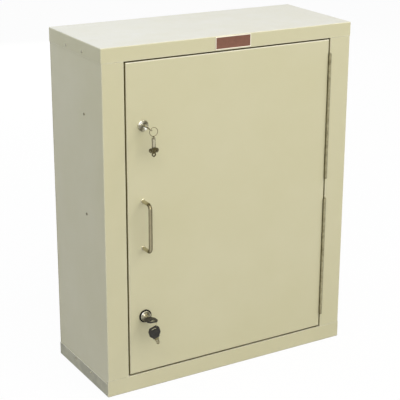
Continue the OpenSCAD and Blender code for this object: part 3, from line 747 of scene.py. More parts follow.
class Workpiece:
    """One mesh on the bench, with its place in its mesh from the first operation on."""

    def __init__(self, name: str) -> None:
        """Take the primitive that was just added and put its place in its mesh.

        Args:
            name: The piece's name.
        """
        self.body = bpy.context.active_object
        self.body.name = self.body.data.name = name
        bpy.ops.object.transform_apply(location=True, rotation=True, scale=True)

    @classmethod
    def block(cls, name: str, low: Sequence[float], high: Sequence[float]) -> "Workpiece":
        """Start from a box between two corners.

        Args:
            name: The piece's name.
            low: Its lowest corner.
            high: Its highest corner.

        Returns:
            The workpiece.
        """
        bpy.ops.object.select_all(action="DESELECT")
        a, b = Vector(low), Vector(high)
        bpy.ops.mesh.primitive_cube_add(size=1.0, location=(a + b) / 2, scale=b - a)
        return cls(name)

    @classmethod
    def strip(cls, name: str, start: float, end: float, width: float, thick: float) -> "Workpiece":
        """Start from a flat strip along X, with its width along Y and its thickness along Z, centred on both."""
        return cls.block(name, (start, -width / 2, -thick / 2), (end, width / 2, thick / 2))

    @classmethod
    def cylinder(cls, name: str, start: Sequence[float], length: float, radius: float, axis: Axis = Axis.Z,
                 sides: int = 48) -> "Workpiece":
        """Start from a cylinder.

        Args:
            name: The piece's name.
            start: Centre of its first end.
            length: Its length.
            radius: Its radius.
            axis: The axis that it lies along.
            sides: Number of its sides.

        Returns:
            The workpiece.
        """
        bpy.ops.object.select_all(action="DESELECT")
        bpy.ops.mesh.primitive_cylinder_add(vertices=sides, radius=radius, depth=length,
                                            location=Vector(start) + axis.vector * (length / 2),
                                            rotation=axis.upright.to_euler())
        return cls(name)

    @classmethod
    def circle(cls, name: str, centre: Sequence[float], turn: Sequence[float], radius: float, sides: int,
               filled: bool = False) -> "Workpiece":
        """Start from a circle, to extrude or wind.

        Args:
            name: The piece's name.
            centre: Its centre.
            turn: Its turn from lying flat, about X, Y and Z.
            radius: Its radius.
            sides: Number of its sides.
            filled: True for a face, False for edges alone.

        Returns:
            The workpiece.
        """
        bpy.ops.object.select_all(action="DESELECT")
        bpy.ops.mesh.primitive_circle_add(vertices=sides, radius=radius, fill_type="NGON" if filled else "NOTHING",
                                          location=centre, rotation=turn)
        return cls(name)

    @classmethod
    def turned(cls, name: str, centre: Vector, profile: Profile, axis: Axis = Axis.Y, sides: int = 64,
               bored: bool = False) -> "Workpiece":
        """Turn a piece on the lathe by extruding and scaling a ring along a profile.

        Args:
            name: The piece's name.
            centre: The point on the axis where the profile's height is 0.
            profile: Pairs of radius and height along the axis, first to last.
            axis: The lathe's axis.
            sides: Number of steps round the axis.
            bored: True if the profile closes on itself and leaves a hole through the piece.

        Returns:
            The workpiece.
        """
        radius, height = profile[0]
        piece = cls.circle(name, centre + axis.vector * height, axis.upright.to_euler(), radius, sides, not bored)
        with piece.editing("EDGE" if bored else "FACE"):
            bpy.ops.mesh.select_all(action="SELECT")
            for next_radius, next_height in [*profile[1:], *(profile[:1] if bored else ())]:
                piece.extrude(axis.vector * (next_height - height))
                factor = next_radius / radius
                bpy.ops.transform.resize(value=[1.0 if part else factor for part in axis.value],
                                         center_override=centre + axis.vector * next_height)
                radius, height = next_radius, next_height
            bpy.ops.mesh.select_all(action="SELECT")
            bpy.ops.mesh.remove_doubles(threshold=SAME_POINT)
            piece.face_outwards()
        return piece

    def take_up(self) -> None:
        """Select this piece alone and make it the active one."""
        bpy.ops.object.select_all(action="DESELECT")
        self.body.select_set(True)
        bpy.context.view_layer.objects.active = self.body

    @contextmanager
    def editing(self, mode: str = "FACE") -> Iterator[None]:
        """Open edit mode on this piece with nothing selected, and close it afterwards.

        Args:
            mode: What selections pick: VERT, EDGE or FACE.
        """
        self.take_up()
        bpy.ops.object.mode_set(mode="EDIT")
        bpy.ops.mesh.select_mode(type=mode)
        bpy.ops.mesh.select_all(action="DESELECT")
        yield
        bpy.ops.object.mode_set(mode="OBJECT")

    def extrude(self, step: Sequence[float]) -> None:
        """Extrude what is selected, in edit mode."""
        bpy.ops.mesh.extrude_region_move(TRANSFORM_OT_translate={"value": step})

    def face_outwards(self) -> None:
        """Turn every face outwards, in edit mode."""
        bpy.ops.mesh.select_all(action="SELECT")
        bpy.ops.mesh.normals_make_consistent(inside=False)

    def pick(self, kind: str, test: Callable[[object], bool]) -> None:
        """Select the faces or vertices that pass a test, in edit mode.

        Args:
            kind: Which ones are tested: faces or verts.
            test: Tests one of them.
        """
        mesh = bmesh.from_edit_mesh(self.body.data)
        for part in getattr(mesh, kind):
            part.select_set(test(part))
        mesh.select_flush_mode()
        bmesh.update_edit_mesh(self.body.data)

    def sink(self, test: Callable[[bmesh.types.BMFace], bool], rim: float, depth: float) -> None:
        """Inset the faces that pass a test as one panel and push it in, with a slope round it.

        Args:
            test: Picks the faces.
            rim: Width of the rim that is left.
            depth: How deep the panel goes.
        """
        with self.editing():
            self.pick("faces", test)
            bpy.ops.mesh.inset(thickness=rim, depth=0.0)
            slope = 0.6 * depth
            bpy.ops.mesh.inset(thickness=slope, depth=-depth)

    def scale_row(self, along: float, factor: float) -> None:
        """Scale the width of the row of points at a place on X, in edit mode."""
        self.pick("verts", lambda point: abs(point.co.x - along) < IN_ROW)
        bpy.ops.transform.resize(value=(1.0, factor, 1.0), center_override=(along, 0.0, 0.0))

    def split(self, along: float) -> None:
        """Cut a row of points across X, in edit mode."""
        bpy.ops.mesh.select_all(action="SELECT")
        bpy.ops.mesh.bisect(plane_co=(along, 0.0, 0.0), plane_no=Axis.X.value)

    def apply(self, kind: str, **settings: object) -> None:
        """Add a modifier with its settings and apply it.

        Args:
            kind: The modifier's type.
            **settings: Its attributes.
        """
        self.take_up()
        modifier = self.body.modifiers.new(kind.title(), kind)
        for name, value in settings.items():
            setattr(modifier, name, value)
        bpy.ops.object.modifier_apply(modifier=modifier.name)

    def combine(self, other: "Workpiece", operation: str) -> None:
        """Join, cut or intersect with another workpiece, which is used up.

        Args:
            other: The tool.
            operation: UNION, DIFFERENCE or INTERSECT.
        """
        self.apply("BOOLEAN", object=other.body, operation=operation, solver="EXACT")
        mesh = other.body.data
        bpy.data.objects.remove(other.body)
        bpy.data.meshes.remove(mesh)

    def soften(self, width: float, segments: int = 3, angle: float = 35.0) -> None:
        """Round the edges that turn by more than an angle in degrees, to a width and in a number of segments."""
        self.apply("BEVEL", width=width, segments=segments, limit_method="ANGLE", angle_limit=math.radians(angle),
                   use_clamp_overlap=True)

    def wind(self, axis: Axis, turns: float, rise: float, steps: int) -> None:
        """Wind an open section about an axis through the origin and close both ends.

        Args:
            axis: The axis.
            turns: Number of turns.
            rise: How far one turn moves along the axis.
            steps: Number of steps in a turn.
        """
        self.apply("SCREW", angle=turns * 2 * math.pi, screw_offset=rise, steps=steps, render_steps=steps,
                   axis=axis.name, use_smooth_shade=True)
        with self.editing("EDGE"):
            bpy.ops.mesh.select_non_manifold()
            bpy.ops.mesh.fill_holes(sides=0)
            self.face_outwards()

    def place(self, matrix: Matrix) -> None:
        """Move the piece from its own bench frame to its place, in its mesh.

        Args:
            matrix: The move.
        """
        self.take_up()
        self.body.matrix_world = matrix
        bpy.ops.object.transform_apply(location=True, rotation=True, scale=True)

    def copy(self, name: str) -> "Workpiece":
        """Copy the piece with a mesh of its own.

        Args:
            name: The copy's name.

        Returns:
            The copy.
        """
        self.take_up()
        bpy.ops.object.duplicate(linked=False)
        return Workpiece(name)

    def repeat(self, rise: float, count: int) -> None:
        """Copy the piece upwards and take the copies into this mesh.

        Args:
            rise: Distance from each copy to the next.
            count: Number of pieces in all.
        """
        copies = []
        for index in range(1, count):
            copies.append(self.copy(f"{self.body.name}_{index}"))
            copies[-1].place(Matrix.Translation((0.0, 0.0, index * rise)))
        self.join(copies)

    def join(self, others: Sequence["Workpiece"]) -> None:
        """Take other workpieces into this mesh as loose shells.

        Args:
            others: The other pieces, which are used up.
        """
        self.take_up()
        for other in others:
            other.body.select_set(True)
        bpy.ops.object.join()

    def hand_over(self, rides: str, finish: bpy.types.Material, slot: str, node: str) -> None:
        """Smooth the piece, dress it and fix it to the model.

        Args:
            rides: The body that it moves with.
            finish: Its material.
            slot: Not used.
            node: The node that it replaces.
        """
        self.take_up()
        bpy.ops.object.shade_smooth_by_angle(angle=SMOOTH_BELOW)
        self.body.data.materials.clear()
        self.body.data.materials.append(finish)
        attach(self.body, rides)
        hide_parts(node)
        log.info("%s: %d faces, rides on %s", self.body.name, len(self.body.data.polygons), rides)


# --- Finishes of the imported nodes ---


class FinishRack:
    """The materials that several pieces share, each built once."""

    def __init__(self) -> None:
        """Mix the finishes."""
        flank_shade_until = box_of("door_pull")[0].y + 9.0 * MM
        self.enamel = EnamelFinish().material()
        self.cap_enamel = EnamelFinish("cream_enamel_matt", roughness=0.5, fold_highlight_share=0.1).material()
        # The base pan's side faces get painted shade.
        self.base_enamel = EnamelFinish("cream_enamel_side_shaded", shaded_sides=0.9).material()
        self.zinc = ZincFinish().material()
        self.hinge = MetalFinish("hinge_steel", (168, 162, 132), (126, 120, 94), (214, 208, 180), 0.42).material()
        # The pull gets painted shade on its flanks and a painted reflection on its legs.
        self.pull = MetalFinish("pull_nickel", (162, 154, 126), (88, 80, 56), (238, 234, 214), 0.16, marked=0.25,
                                lit_face=(-0.54, -0.84, 0.0), flank_shade_until=flank_shade_until).material()
        self.key = MetalFinish("key_nickel", (146, 139, 106), (84, 76, 46), (250, 248, 236), 0.26).material()
        # A lighter copy of the key nickel: a painted highlight on the blade in the lower lock.
        self.blade = MetalFinish("blade_nickel_lit", (216, 211, 188), (120, 112, 78), (252, 250, 240), 0.2).material()
        self.wire = MetalFinish("loop_wire", (112, 104, 74), (66, 59, 36), (232, 227, 204), 0.22).material()
        self.ring = MetalFinish("ring_wire", (236, 234, 222), (180, 176, 152), (250, 249, 240), 0.2).material()
        self.plastic = MouldedFinish("black_plastic", (36, 33, 28), (74, 70, 60), 0.34, gloss=0.35).material()
        self.bezel = MouldedFinish("bezel_black", (12, 11, 7), (34, 32, 24), 0.3, gloss=0.15).material()
        self.rivet = MetalFinish("rivet_aluminium", (176, 173, 152), (96, 93, 74), (252, 251, 244), 0.24).material()
        self.dull_rivet = MetalFinish("rivet_dull", (122, 118, 98), (84, 80, 64), (190, 186, 164), 0.4).material()
        self.rubber = MouldedFinish("bumper_rubber", (40, 39, 38), (66, 64, 62), 0.75,
                                    grain_height=0.05 * MM).material()


class NodeFinish(Enum):
    """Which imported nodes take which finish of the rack."""

    enamel = ("left_side_panel", "right_side_panel", "back_panel", "door_pan", "lower_shelf", "middle_shelf",
              "upper_shelf")
    cap_enamel = ("top_cap",)
    base_enamel = ("base_pan",)
    zinc = ("front_left_standard", "rear_left_standard", "front_right_standard", "rear_right_standard",
            "shelf_clips", "door_stiffeners", "upper_lock_cam", "lower_lock_cam")
    hinge = ("lower_hinge_frame_leaf", "upper_hinge_frame_leaf", "lower_hinge_door_leaf",
             "upper_hinge_door_leaf", "lower_hinge_pin", "upper_hinge_pin")

    def dress(self, rack: FinishRack) -> None:
        """Give these nodes their finish.

        Args:
            rack: The cabinet's materials.
        """
        for name in self.value:
            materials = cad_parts[name].data.materials
            materials.clear()
            materials.append(getattr(rack, self.name))
            log.info("%s: %s", name, self.name)


# --- Nameplate, rivets, bumpers and pull ---


@dataclass
class Nameplate:
    """The bare plate on the cap's front: a raised rim round a sunk field, with softened corners."""

    rim: float = 1.7 * MM
    sunk: float = 0.35 * MM
    softness: float = 0.2 * MM

    def build(self) -> None:
        """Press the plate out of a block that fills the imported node's box."""
        low, high = box_of("nameplate")
        piece = Workpiece.block("bare_nameplate", low, high)
        piece.sink(lambda face: face.normal.y < -0.9, self.rim, self.sunk)
        piece.soften(self.softness)
        piece.hand_over("cabinet", PlateFinish(low.y).material(), "plate_brown", "nameplate")


@dataclass
class BlindRivets:
    """One node's blind rivets in the sides: a domed rim round the broken mandrel, a shank and a formed tail."""

    node: str
    finish: bpy.types.Material
    head: float = 3.0 * MM
    head_height: float = 1.4 * MM
    shank: float = 1.95 * MM
    tail: float = 2.6 * MM
    tail_height: float = 0.7 * MM
    reach: float = 15.0 * MM
    dome: Profile = ((1.0, 0.0), (0.98, 0.25), (0.87, 0.6), (0.66, 0.87), (0.45, 1.0), (0.36, 0.97), (0.32, 0.72))

    def places(self) -> list[tuple[Vector, Vector]]:
        """The box of each rivet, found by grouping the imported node's points.

        Returns:
            The lowest and highest corner of every rivet.
        """
        boxes: list[tuple[Vector, Vector]] = []
        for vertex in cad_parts[self.node].data.vertices:
            point = vertex.co
            for low, high in boxes:
                if (point - (low + high) / 2).length < self.reach:
                    for part in range(3):
                        low[part], high[part] = min(low[part], point[part]), max(high[part], point[part])
                    break
            else:
                boxes.append((point.copy(), point.copy()))
        return boxes

    def build(self) -> None:
        """Turn every rivet in its place and join them."""
        rivets = []
        for index, (low, high) in enumerate(self.places()):
            out = -1 if low.x < 0 else 1
            face = Vector((low.x if out < 0 else high.x, (low.y + high.y) / 2, (low.z + high.z) / 2))
            face.x -= out * self.head_height
            end = self.head_height - (high.x - low.x)
            profile = [(0.8 * self.tail, end), (self.tail, end + 0.3 * self.tail_height),
                       (self.tail, end + self.tail_height), (self.shank, end + self.tail_height), (self.shank, 0.0)]
            profile += [(share * self.head, height * self.head_height) for share, height in self.dome]
            rivets.append(Workpiece.turned(f"blind_{self.node}_{index}", face,
                                           [(radius, out * height) for radius, height in profile], Axis.X, sides=24))
        rivets[0].join(rivets[1:])
        rivets[0].hand_over("cabinet", self.finish, "cream_enamel", self.node)


@dataclass
class Bumpers:
    """Three domed rubber buttons on the stop lip, where the shut door comes to rest."""

    rack: FinishRack
    count: int = 3
    dome: Profile = ((1.0, 0.0), (1.0, -0.45), (0.94, -0.65), (0.78, -0.85), (0.5, -0.96), (0.2, -1.0))

    def build(self) -> None:
        """Turn one button and copy it up the lip."""
        low, high = box_of("door_bumpers")
        radius = (high.x - low.x) / 2
        profile = [(share * radius, height * (high.y - low.y)) for share, height in self.dome]
        foot = Vector(((low.x + high.x) / 2, high.y, low.z + radius))
        first = Workpiece.turned("door_bumper_buttons", foot, profile, sides=32)
        first.repeat((high.z - low.z - 2 * radius) / (self.count - 1), self.count)
        first.hand_over("cabinet", self.rack.rubber, "bumper_rubber", "door_bumpers")


@dataclass
class DoorPull:
    """The round-bar pull: one bar bent at both ends, on a small collar at each foot, held by two screws."""

    rack: FinishRack
    radius: float = 4.0 * MM
    bend: float = 10.0 * MM
    bend_steps: int = 10
    collar: float = 4.9 * MM
    collar_height: float = 1.2 * MM
    screw: float = 2.0 * MM
    screw_head: float = 2.4 * MM
    recess_start: float = 1.3 * MM
    recess_width: float = 0.7 * MM
    recess_turn: float = 0.4

    def build(self) -> None:
        """Extrude and spin the bar along its route, then turn collars and screws."""
        low, high = box_of("door_pull")
        foot = Vector(((low.x + high.x) / 2, high.y, low.z + self.radius))
        reach = high.y - low.y - self.radius - self.bend
        rise = high.z - low.z - 2 * self.radius - 2 * self.bend
        bar = Workpiece.circle("door_pull_bar", foot, Axis.Y.upright.to_euler(), self.radius, 32, filled=True)
        with bar.editing():
            bpy.ops.mesh.select_all(action="SELECT")
            for step, corner in (((0.0, -reach, 0.0), self.bend), ((0.0, 0.0, rise), self.bend + rise)):
                bar.extrude(step)
                bpy.ops.mesh.spin(steps=self.bend_steps, angle=math.pi / 2, axis=Axis.X.value,
                                  center=foot + Vector((0.0, -reach, corner)))
            bar.extrude((0.0, reach, 0.0))
            bar.face_outwards()
        span = rise + 2 * self.bend
        collar = [(self.collar, 0.0), (self.collar, -0.5 * self.collar_height),
                  (0.93 * self.collar, -0.85 * self.collar_height), (0.84 * self.collar, -self.collar_height),
                  (0.95 * self.radius, -1.05 * self.collar_height)]
        for height in (0.0, span):
            bar.combine(Workpiece.turned("collar", foot + Vector((0.0, 0.0, height)), collar, sides=40), "UNION")
        bar.hand_over("door", self.rack.pull, "pull_bronze", "door_pull")
        self.build_screws(span, foot)

    def build_screws(self, span: float, foot: Vector) -> None:
        """Turn the two pan-head screws behind the door skin.

        Args:
            span: Distance between the pull's feet.
            foot: The lower foot's centre on the door's face.
        """
        low, high = box_of("pull_screws")
        head = (high.x - low.x) / 2
        start = Vector((foot.x, high.y - self.screw_head, foot.z))
        profile = [(self.screw, low.y - start.y), (self.screw, 0.0), (head, 0.0), (head, 0.9 * MM),
                   (0.92 * head, 1.5 * MM), (0.7 * head, 2.1 * MM), (0.35 * head, self.screw_head)]
        screws = Workpiece.turned("pull_pan_screws", start, profile, sides=32)
        across, half = 0.55 * head, self.recess_width / 2
        for turn in (0.0, math.pi / 2):
            driver = Workpiece.block("driver", (-across, self.recess_start, -half), (across, 3.0 * MM, half))
            driver.place(Matrix.Translation(start) @ Matrix.Rotation(turn + self.recess_turn, 4, "Y"))
            screws.combine(driver, "DIFFERENCE")
        screws.repeat(span, 2)
        screws.hand_over("door", self.rack.zinc, "zinc_plate", "pull_screws")


# --- The locks' names, their keys and rings ---


class Lock(Enum):
    """The door's two locks: name, turn of the key in degrees, and the edge of the face's painted highlight wedges."""

    UPPER = ("upper", 40.0, (0.84, 0.97))
    LOWER = ("lower", 4.0, (0.93, 0.995))

    def __init__(self, label: str, key_turn: float, highlight_edge: tuple[float, float]) -> None:
        """Give the value's parts their names."""
        self.label, self.key_turn, self.highlight_edge = label, key_turn, highlight_edge

    @property
    def key_frame(self) -> Matrix:
        """Frame of its key, from the plug's face: +X out of the door, Y across the bow, Z through it."""
        face = Matrix.Translation(face_centre(f"{self.label}_lock_plug"))
        return face @ Matrix.Rotation(math.radians(self.key_turn), 4, "Y") @ Matrix.Rotation(-math.pi / 2, 4, "Z")


@dataclass
class KeyBlade:
    """A flat key blade: pointed tip, milled grooves on both faces and cuts along one edge."""

    width: float = 8.0 * MM
    thick: float = 1.9 * MM
    inside: float = 9.5 * MM
    tip: float = 3.4 * MM
    tip_share: float = 0.3
    groove: float = 0.4 * MM
    groove_width: float = 1.1 * MM
    groove_off: float = 1.6 * MM
    file: float = 1.0 * MM

    def build(self, name: str, out: float, cuts: Profile) -> Workpiece:
        """Shape a blade in the key's own frame.

        Args:
            name: The piece's name.
            out: Where the blade ends towards the bow.
            cuts: Place along the blade and depth of each cut in its edge.

        Returns:
            The workpiece.
        """
        piece = Workpiece.strip(name, -self.inside, out, self.width, self.thick)
        with piece.editing("VERT"):
            piece.split(self.tip - self.inside)
            piece.scale_row(-self.inside, self.tip_share)
        for side in (-1, 1):
            for across in (-self.groove_off, self.groove_off):
                top, half = side * self.thick / 2, self.groove_width / 2
                mill = Workpiece.block("mill", (self.tip - self.inside, across - half, top - self.groove),
                                       (out + OVERSHOOT, across + half, top + self.groove))
                piece.combine(mill, "DIFFERENCE")
        for along, depth in cuts:
            start = (along, self.width / 2 + self.file - depth, -self.thick)
            piece.combine(Workpiece.cylinder("file", start, 2 * self.thick, self.file, sides=16), "DIFFERENCE")
        return piece


@dataclass
class TrefoilKeys:
    """The upper lock's flat keys: one in the lock, one hanging bow down from the wire loop."""

    rack: FinishRack
    blade: KeyBlade = field(default_factory=KeyBlade)
    cuts: Profile = ((-4.5 * MM, 0.9 * MM), (-1.6 * MM, 0.5 * MM), (1.4 * MM, 1.1 * MM), (4.4 * MM, 0.7 * MM))
    stem: float = 13.5 * MM
    overlap: float = 3.0 * MM
    bow: float = 19.5 * MM
    bow_width: float = 22.0 * MM
    lobe: float = 5.1 * MM
    lobe_off: float = 0.9 * MM
    end_lobe: float = 4.6 * MM
    neck: float = 8.0 * MM
    hole: float = 2.2 * MM
    thick: float = 2.05 * MM
    recess: float = 0.4 * MM
    recess_radius: float = 2.9 * MM
    softness: float = 0.3 * MM

    def bow_blank(self, name: str) -> Workpiece:
        """Stamp the three-lobed bow with its hole and a shallow round recess in each side lobe.

        Args:
            name: The piece's name.

        Returns:
            The workpiece in the key's own frame.
        """
        thick = self.thick
        hole_u = self.stem + self.bow - self.end_lobe
        lobes = [(self.stem + self.lobe + self.lobe_off, side * (self.bow_width / 2 - self.lobe)) for side in (-1, 1)]
        blank = Workpiece.cylinder(name, (hole_u, 0.0, -thick / 2), thick, self.end_lobe)
        for lobe in lobes:
            blank.combine(Workpiece.cylinder("lobe", (*lobe, -thick / 2), thick, self.lobe), "UNION")
        blank.combine(Workpiece.strip("neck", self.stem, hole_u, self.neck, thick), "UNION")
        blank.soften(self.softness, segments=2, angle=50.0)
        blank.combine(Workpiece.cylinder("drill", (hole_u, 0.0, -thick), 2 * thick, self.hole, sides=32), "DIFFERENCE")
        for lobe in lobes:
            for face in (-thick / 2, thick / 2):
                punch = Workpiece.cylinder("punch", (*lobe, face - self.recess), 2 * self.recess, self.recess_radius,
                                           sides=32)
                blank.combine(punch, "DIFFERENCE")
        return blank

    def build(self) -> None:
        """Build both keys and place them."""
        key = self.bow_blank("upper_lock_key")
        key.combine(self.blade.build("blade", self.stem + self.overlap, self.cuts), "UNION")
        spare = key.copy("upper_hanging_key")
        key.place(Lock.UPPER.key_frame)
        key.hand_over("upper_lock_core", self.rack.key, "key_nickel", "upper_key")
        start = middle("upper_spare_key")
        start.z = box_of("upper_spare_key")[1].z - self.blade.inside
        bow_down = Matrix.Rotation(math.pi / 2, 4, "Y") @ Matrix.Rotation(math.pi / 2, 4, "X")
        spare.place(Matrix.Translation(start) @ bow_down)
        # The hanging key's blade gets painted highlights in its grooves.
        finish = MetalFinish("flat_key_nickel", (98, 90, 62), (44, 38, 22), (236, 231, 206), 0.3,
                             groove_highlight_place=(start.x, start.z - self.stem))
        spare.hand_over("upper_key_loop", finish.material(), "key_nickel", "upper_spare_key")


@dataclass
class WireLoop:
    """The loop of thin wire through the upper key's bow, twisted together below."""

    rack: FinishRack
    radius: float = 9.2 * MM
    wire: float = 0.6 * MM
    knot: float = 7.5 * MM
    twist_offset: float = 1.1 * MM
    twist_wire: float = 0.9 * MM
    turns: float = 2.0
    turn_steps: int = 40

    def build(self) -> None:
        """Spin the loop and wind the twist under it."""
        centre = middle("upper_key_loop")
        centre.z = box_of("upper_key_loop")[1].z - self.radius - self.wire
        bpy.ops.object.select_all(action="DESELECT")
        bpy.ops.mesh.primitive_torus_add(location=centre, rotation=Axis.Y.upright.to_euler(), major_radius=self.radius,
                                         minor_radius=self.wire, major_segments=72, minor_segments=12)
        loop = Workpiece("upper_wire_loop")
        knot = centre - Vector((0.0, 0.0, self.radius + self.twist_wire))
        loop.join([self.strand(knot, start) for start in (0.0, math.pi)])
        loop.hand_over("upper_key_loop", self.rack.wire, "key_nickel", "upper_key_loop")

    def strand(self, knot: Vector, start: float) -> Workpiece:
        """Wind one strand of the twist.

        Args:
            knot: Where the twist starts, under the loop.
            start: Angle of its first point.

        Returns:
            The workpiece.
        """
        offset = Vector((self.twist_offset * math.cos(start), self.twist_offset * math.sin(start), 0.0))
        strand = Workpiece.circle("strand", offset, (math.pi / 2, 0.0, start), self.twist_wire, 12)
        strand.wind(Axis.Z, self.turns, 2 * self.twist_wire - self.knot, self.turn_steps)
        strand.place(Matrix.Translation(knot))
        return strand


@dataclass
class BlackHeadKeys:
    """The lower lock's keys: steel blades in moulded black heads, one hanging on the other."""

    rack: FinishRack
    blade: KeyBlade = field(default_factory=KeyBlade)
    cuts: Profile = ((-5.6 * MM, 0.7 * MM), (-3.0 * MM, 1.2 * MM), (-0.4 * MM, 0.6 * MM))
    start: float = 2.2 * MM
    overlap: float = 5.0 * MM
    length: float = 32.5 * MM
    width: float = 26.0 * MM
    end_width: float = 17.0 * MM
    neck: float = 14.0 * MM
    flare: float = 4.0 * MM
    flare_width: float = 17.0 * MM
    broad_from: float = 0.34
    broad_until: float = 0.78
    thick: float = 3.2 * MM
    bar: float = 3.2 * MM
    slot_width: float = 10.0 * MM
    slot_height: float = 8.0 * MM
    spare_slot_height: float = 3.2 * MM
    slot_softness: float = 1.2 * MM
    softness: float = 0.7 * MM
    pad_start: float = 3.4 * MM
    pad_margin: float = 2.2 * MM
    pad_share: float = 0.64
    pad_depth: float = 0.3 * MM
    pad_softness: float = 0.28 * MM
    wire: float = 0.7 * MM
    wire_play: float = 0.4 * MM
    ring_side: float = 3.0 * MM
    spare_tilt: float = math.radians(17.0)
    shoulder: float = 5.0 * MM
    shoulder_overlap: float = 2.0 * MM
    shoulder_width: float = 10.4 * MM
    shoulder_thick: float = 2.1 * MM
    shoulder_softness: float = 0.3 * MM

    @property
    def moulded(self) -> float:
        """Length of the black moulding, past the blade's shoulder."""
        return self.length - self.shoulder

    def head(self, name: str, slot_height: float) -> Workpiece:
        """Mould a head in the key's own frame, with its origin at the head's foot.

        Args:
            name: The piece's name.
            slot_height: Height of the slot for the ring.

        Returns:
            The workpiece.
        """
        piece = Workpiece.strip(name, 0.0, self.moulded, self.width, self.thick)
        rows = ((0.0, self.neck), (self.flare, self.flare_width), (self.broad_from * self.moulded, self.width),
                (self.broad_until * self.moulded, self.width), (self.moulded, self.end_width))
        with piece.editing("VERT"):
            for along, _ in rows[1:-1]:
                piece.split(along)
            for along, wide in rows:
                piece.scale_row(along, wide / self.width)
        slot_start = self.moulded - self.bar - slot_height
        cutter = Workpiece.strip("slot", slot_start, slot_start + slot_height, self.slot_width, 2 * self.thick)
        cutter.soften(self.slot_softness)
        piece.combine(cutter, "DIFFERENCE")
        piece.soften(self.softness, angle=50.0)
        half, end = self.pad_share * self.width / 2, self.moulded - self.bar - self.slot_height - self.pad_margin
        for face in (-self.thick / 2, self.thick / 2):
            pad = Workpiece.block("pad", (self.pad_start, -half, face - self.pad_depth),
                                  (end, half, face + self.pad_depth))
            pad.soften(self.pad_softness, segments=2)
            piece.combine(pad, "DIFFERENCE")
        return piece

    def shouldered_blade(self, name: str, foot: float) -> Workpiece:
        """Stamp a blade with the wide shoulder between it and the moulding, in the key's own frame.

        Args:
            name: The piece's name.
            foot: Where the moulding starts.

        Returns:
            The workpiece.
        """
        blade = self.blade.build(name, foot + self.overlap, self.cuts)
        shoulder = Workpiece.strip("shoulder", self.start, foot + self.shoulder_overlap, self.shoulder_width,
                                   self.shoulder_thick)
        shoulder.soften(self.shoulder_softness, segments=2)
        blade.combine(shoulder, "UNION")
        return blade

    def on_ring(self) -> Matrix:
        """Frame of the spare key, hung on its ring with the head up.

        Returns:
            The placement.
        """
        wire = middle("lower_key_ring")
        wire.z = box_of("lower_key_ring")[0].z + self.wire
        reach = self.moulded - self.bar - self.wire - self.wire_play
        turned = Matrix.Rotation(-self.spare_tilt, 4, "Y") @ Matrix.Rotation(-math.pi / 2, 4, "Y")
        offset = Matrix.Translation((-reach, self.ring_side, 0.0))
        return Matrix.Translation(wire) @ turned @ Matrix.Rotation(math.pi / 2, 4, "X") @ offset

    def build(self) -> None:
        """Build the key in the lock and the spare on the ring."""
        foot = self.start + self.shoulder
        blade = self.shouldered_blade("lower_lock_key_blade", foot)
        spare_blade = blade.copy("lower_hanging_key_blade")
        head = self.head("lower_lock_key_head", self.slot_height)
        spare_head = self.head("lower_hanging_key_head", self.spare_slot_height)
        in_lock, on_ring = Lock.LOWER.key_frame, self.on_ring()
        blade.place(in_lock)
        blade.hand_over("lower_lock_core", self.rack.blade, "key_nickel", "lower_key_blade")
        head.place(in_lock @ Matrix.Translation((foot, 0.0, 0.0)))
        head.hand_over("lower_lock_core", self.rack.plastic, "black_plastic", "lower_key_head")
        spare_head.place(on_ring)
        spare_head.hand_over("lower_spare_key", self.rack.plastic, "black_plastic", "lower_spare_head")
        spare_blade.place(on_ring @ Matrix.Translation((-foot, 0.0, 0.0)))
        spare_blade.hand_over("lower_spare_key", self.rack.key, "key_nickel", "lower_spare_blade")


@dataclass
class SplitRing:
    """The lower keys' split ring: two flat turns of spring wire, side by side."""

    rack: FinishRack
    radius: float = 9.0 * MM
    wire: float = 0.7 * MM
    flatness: float = 0.5
    turns: float = 1.9
    turn_steps: int = 121

    def build(self) -> None:
        """Wind the ring from a flattened wire section."""
        start = (0.0, self.radius, 0.0)
        ring = Workpiece.circle("lower_split_ring", start, (math.pi / 2, 0.0, 0.0), self.wire * 0.95, 12)
        with ring.editing("VERT"):
            bpy.ops.mesh.select_all(action="SELECT")
            bpy.ops.transform.rotate(value=math.pi / 2, orient_axis="Z", center_override=start)
            bpy.ops.transform.resize(value=(self.flatness, 1.0, 1.0), center_override=start)
        ring.wind(Axis.X, self.turns, self.wire * self.turns, self.turn_steps)
        ring.place(Matrix.Translation(middle("lower_key_ring") - Vector((self.wire * self.turns / 2, 0.0, 0.0))))
        ring.hand_over("lower_key_ring", self.rack.ring, "key_nickel", "lower_key_ring")


# --- Locks ---


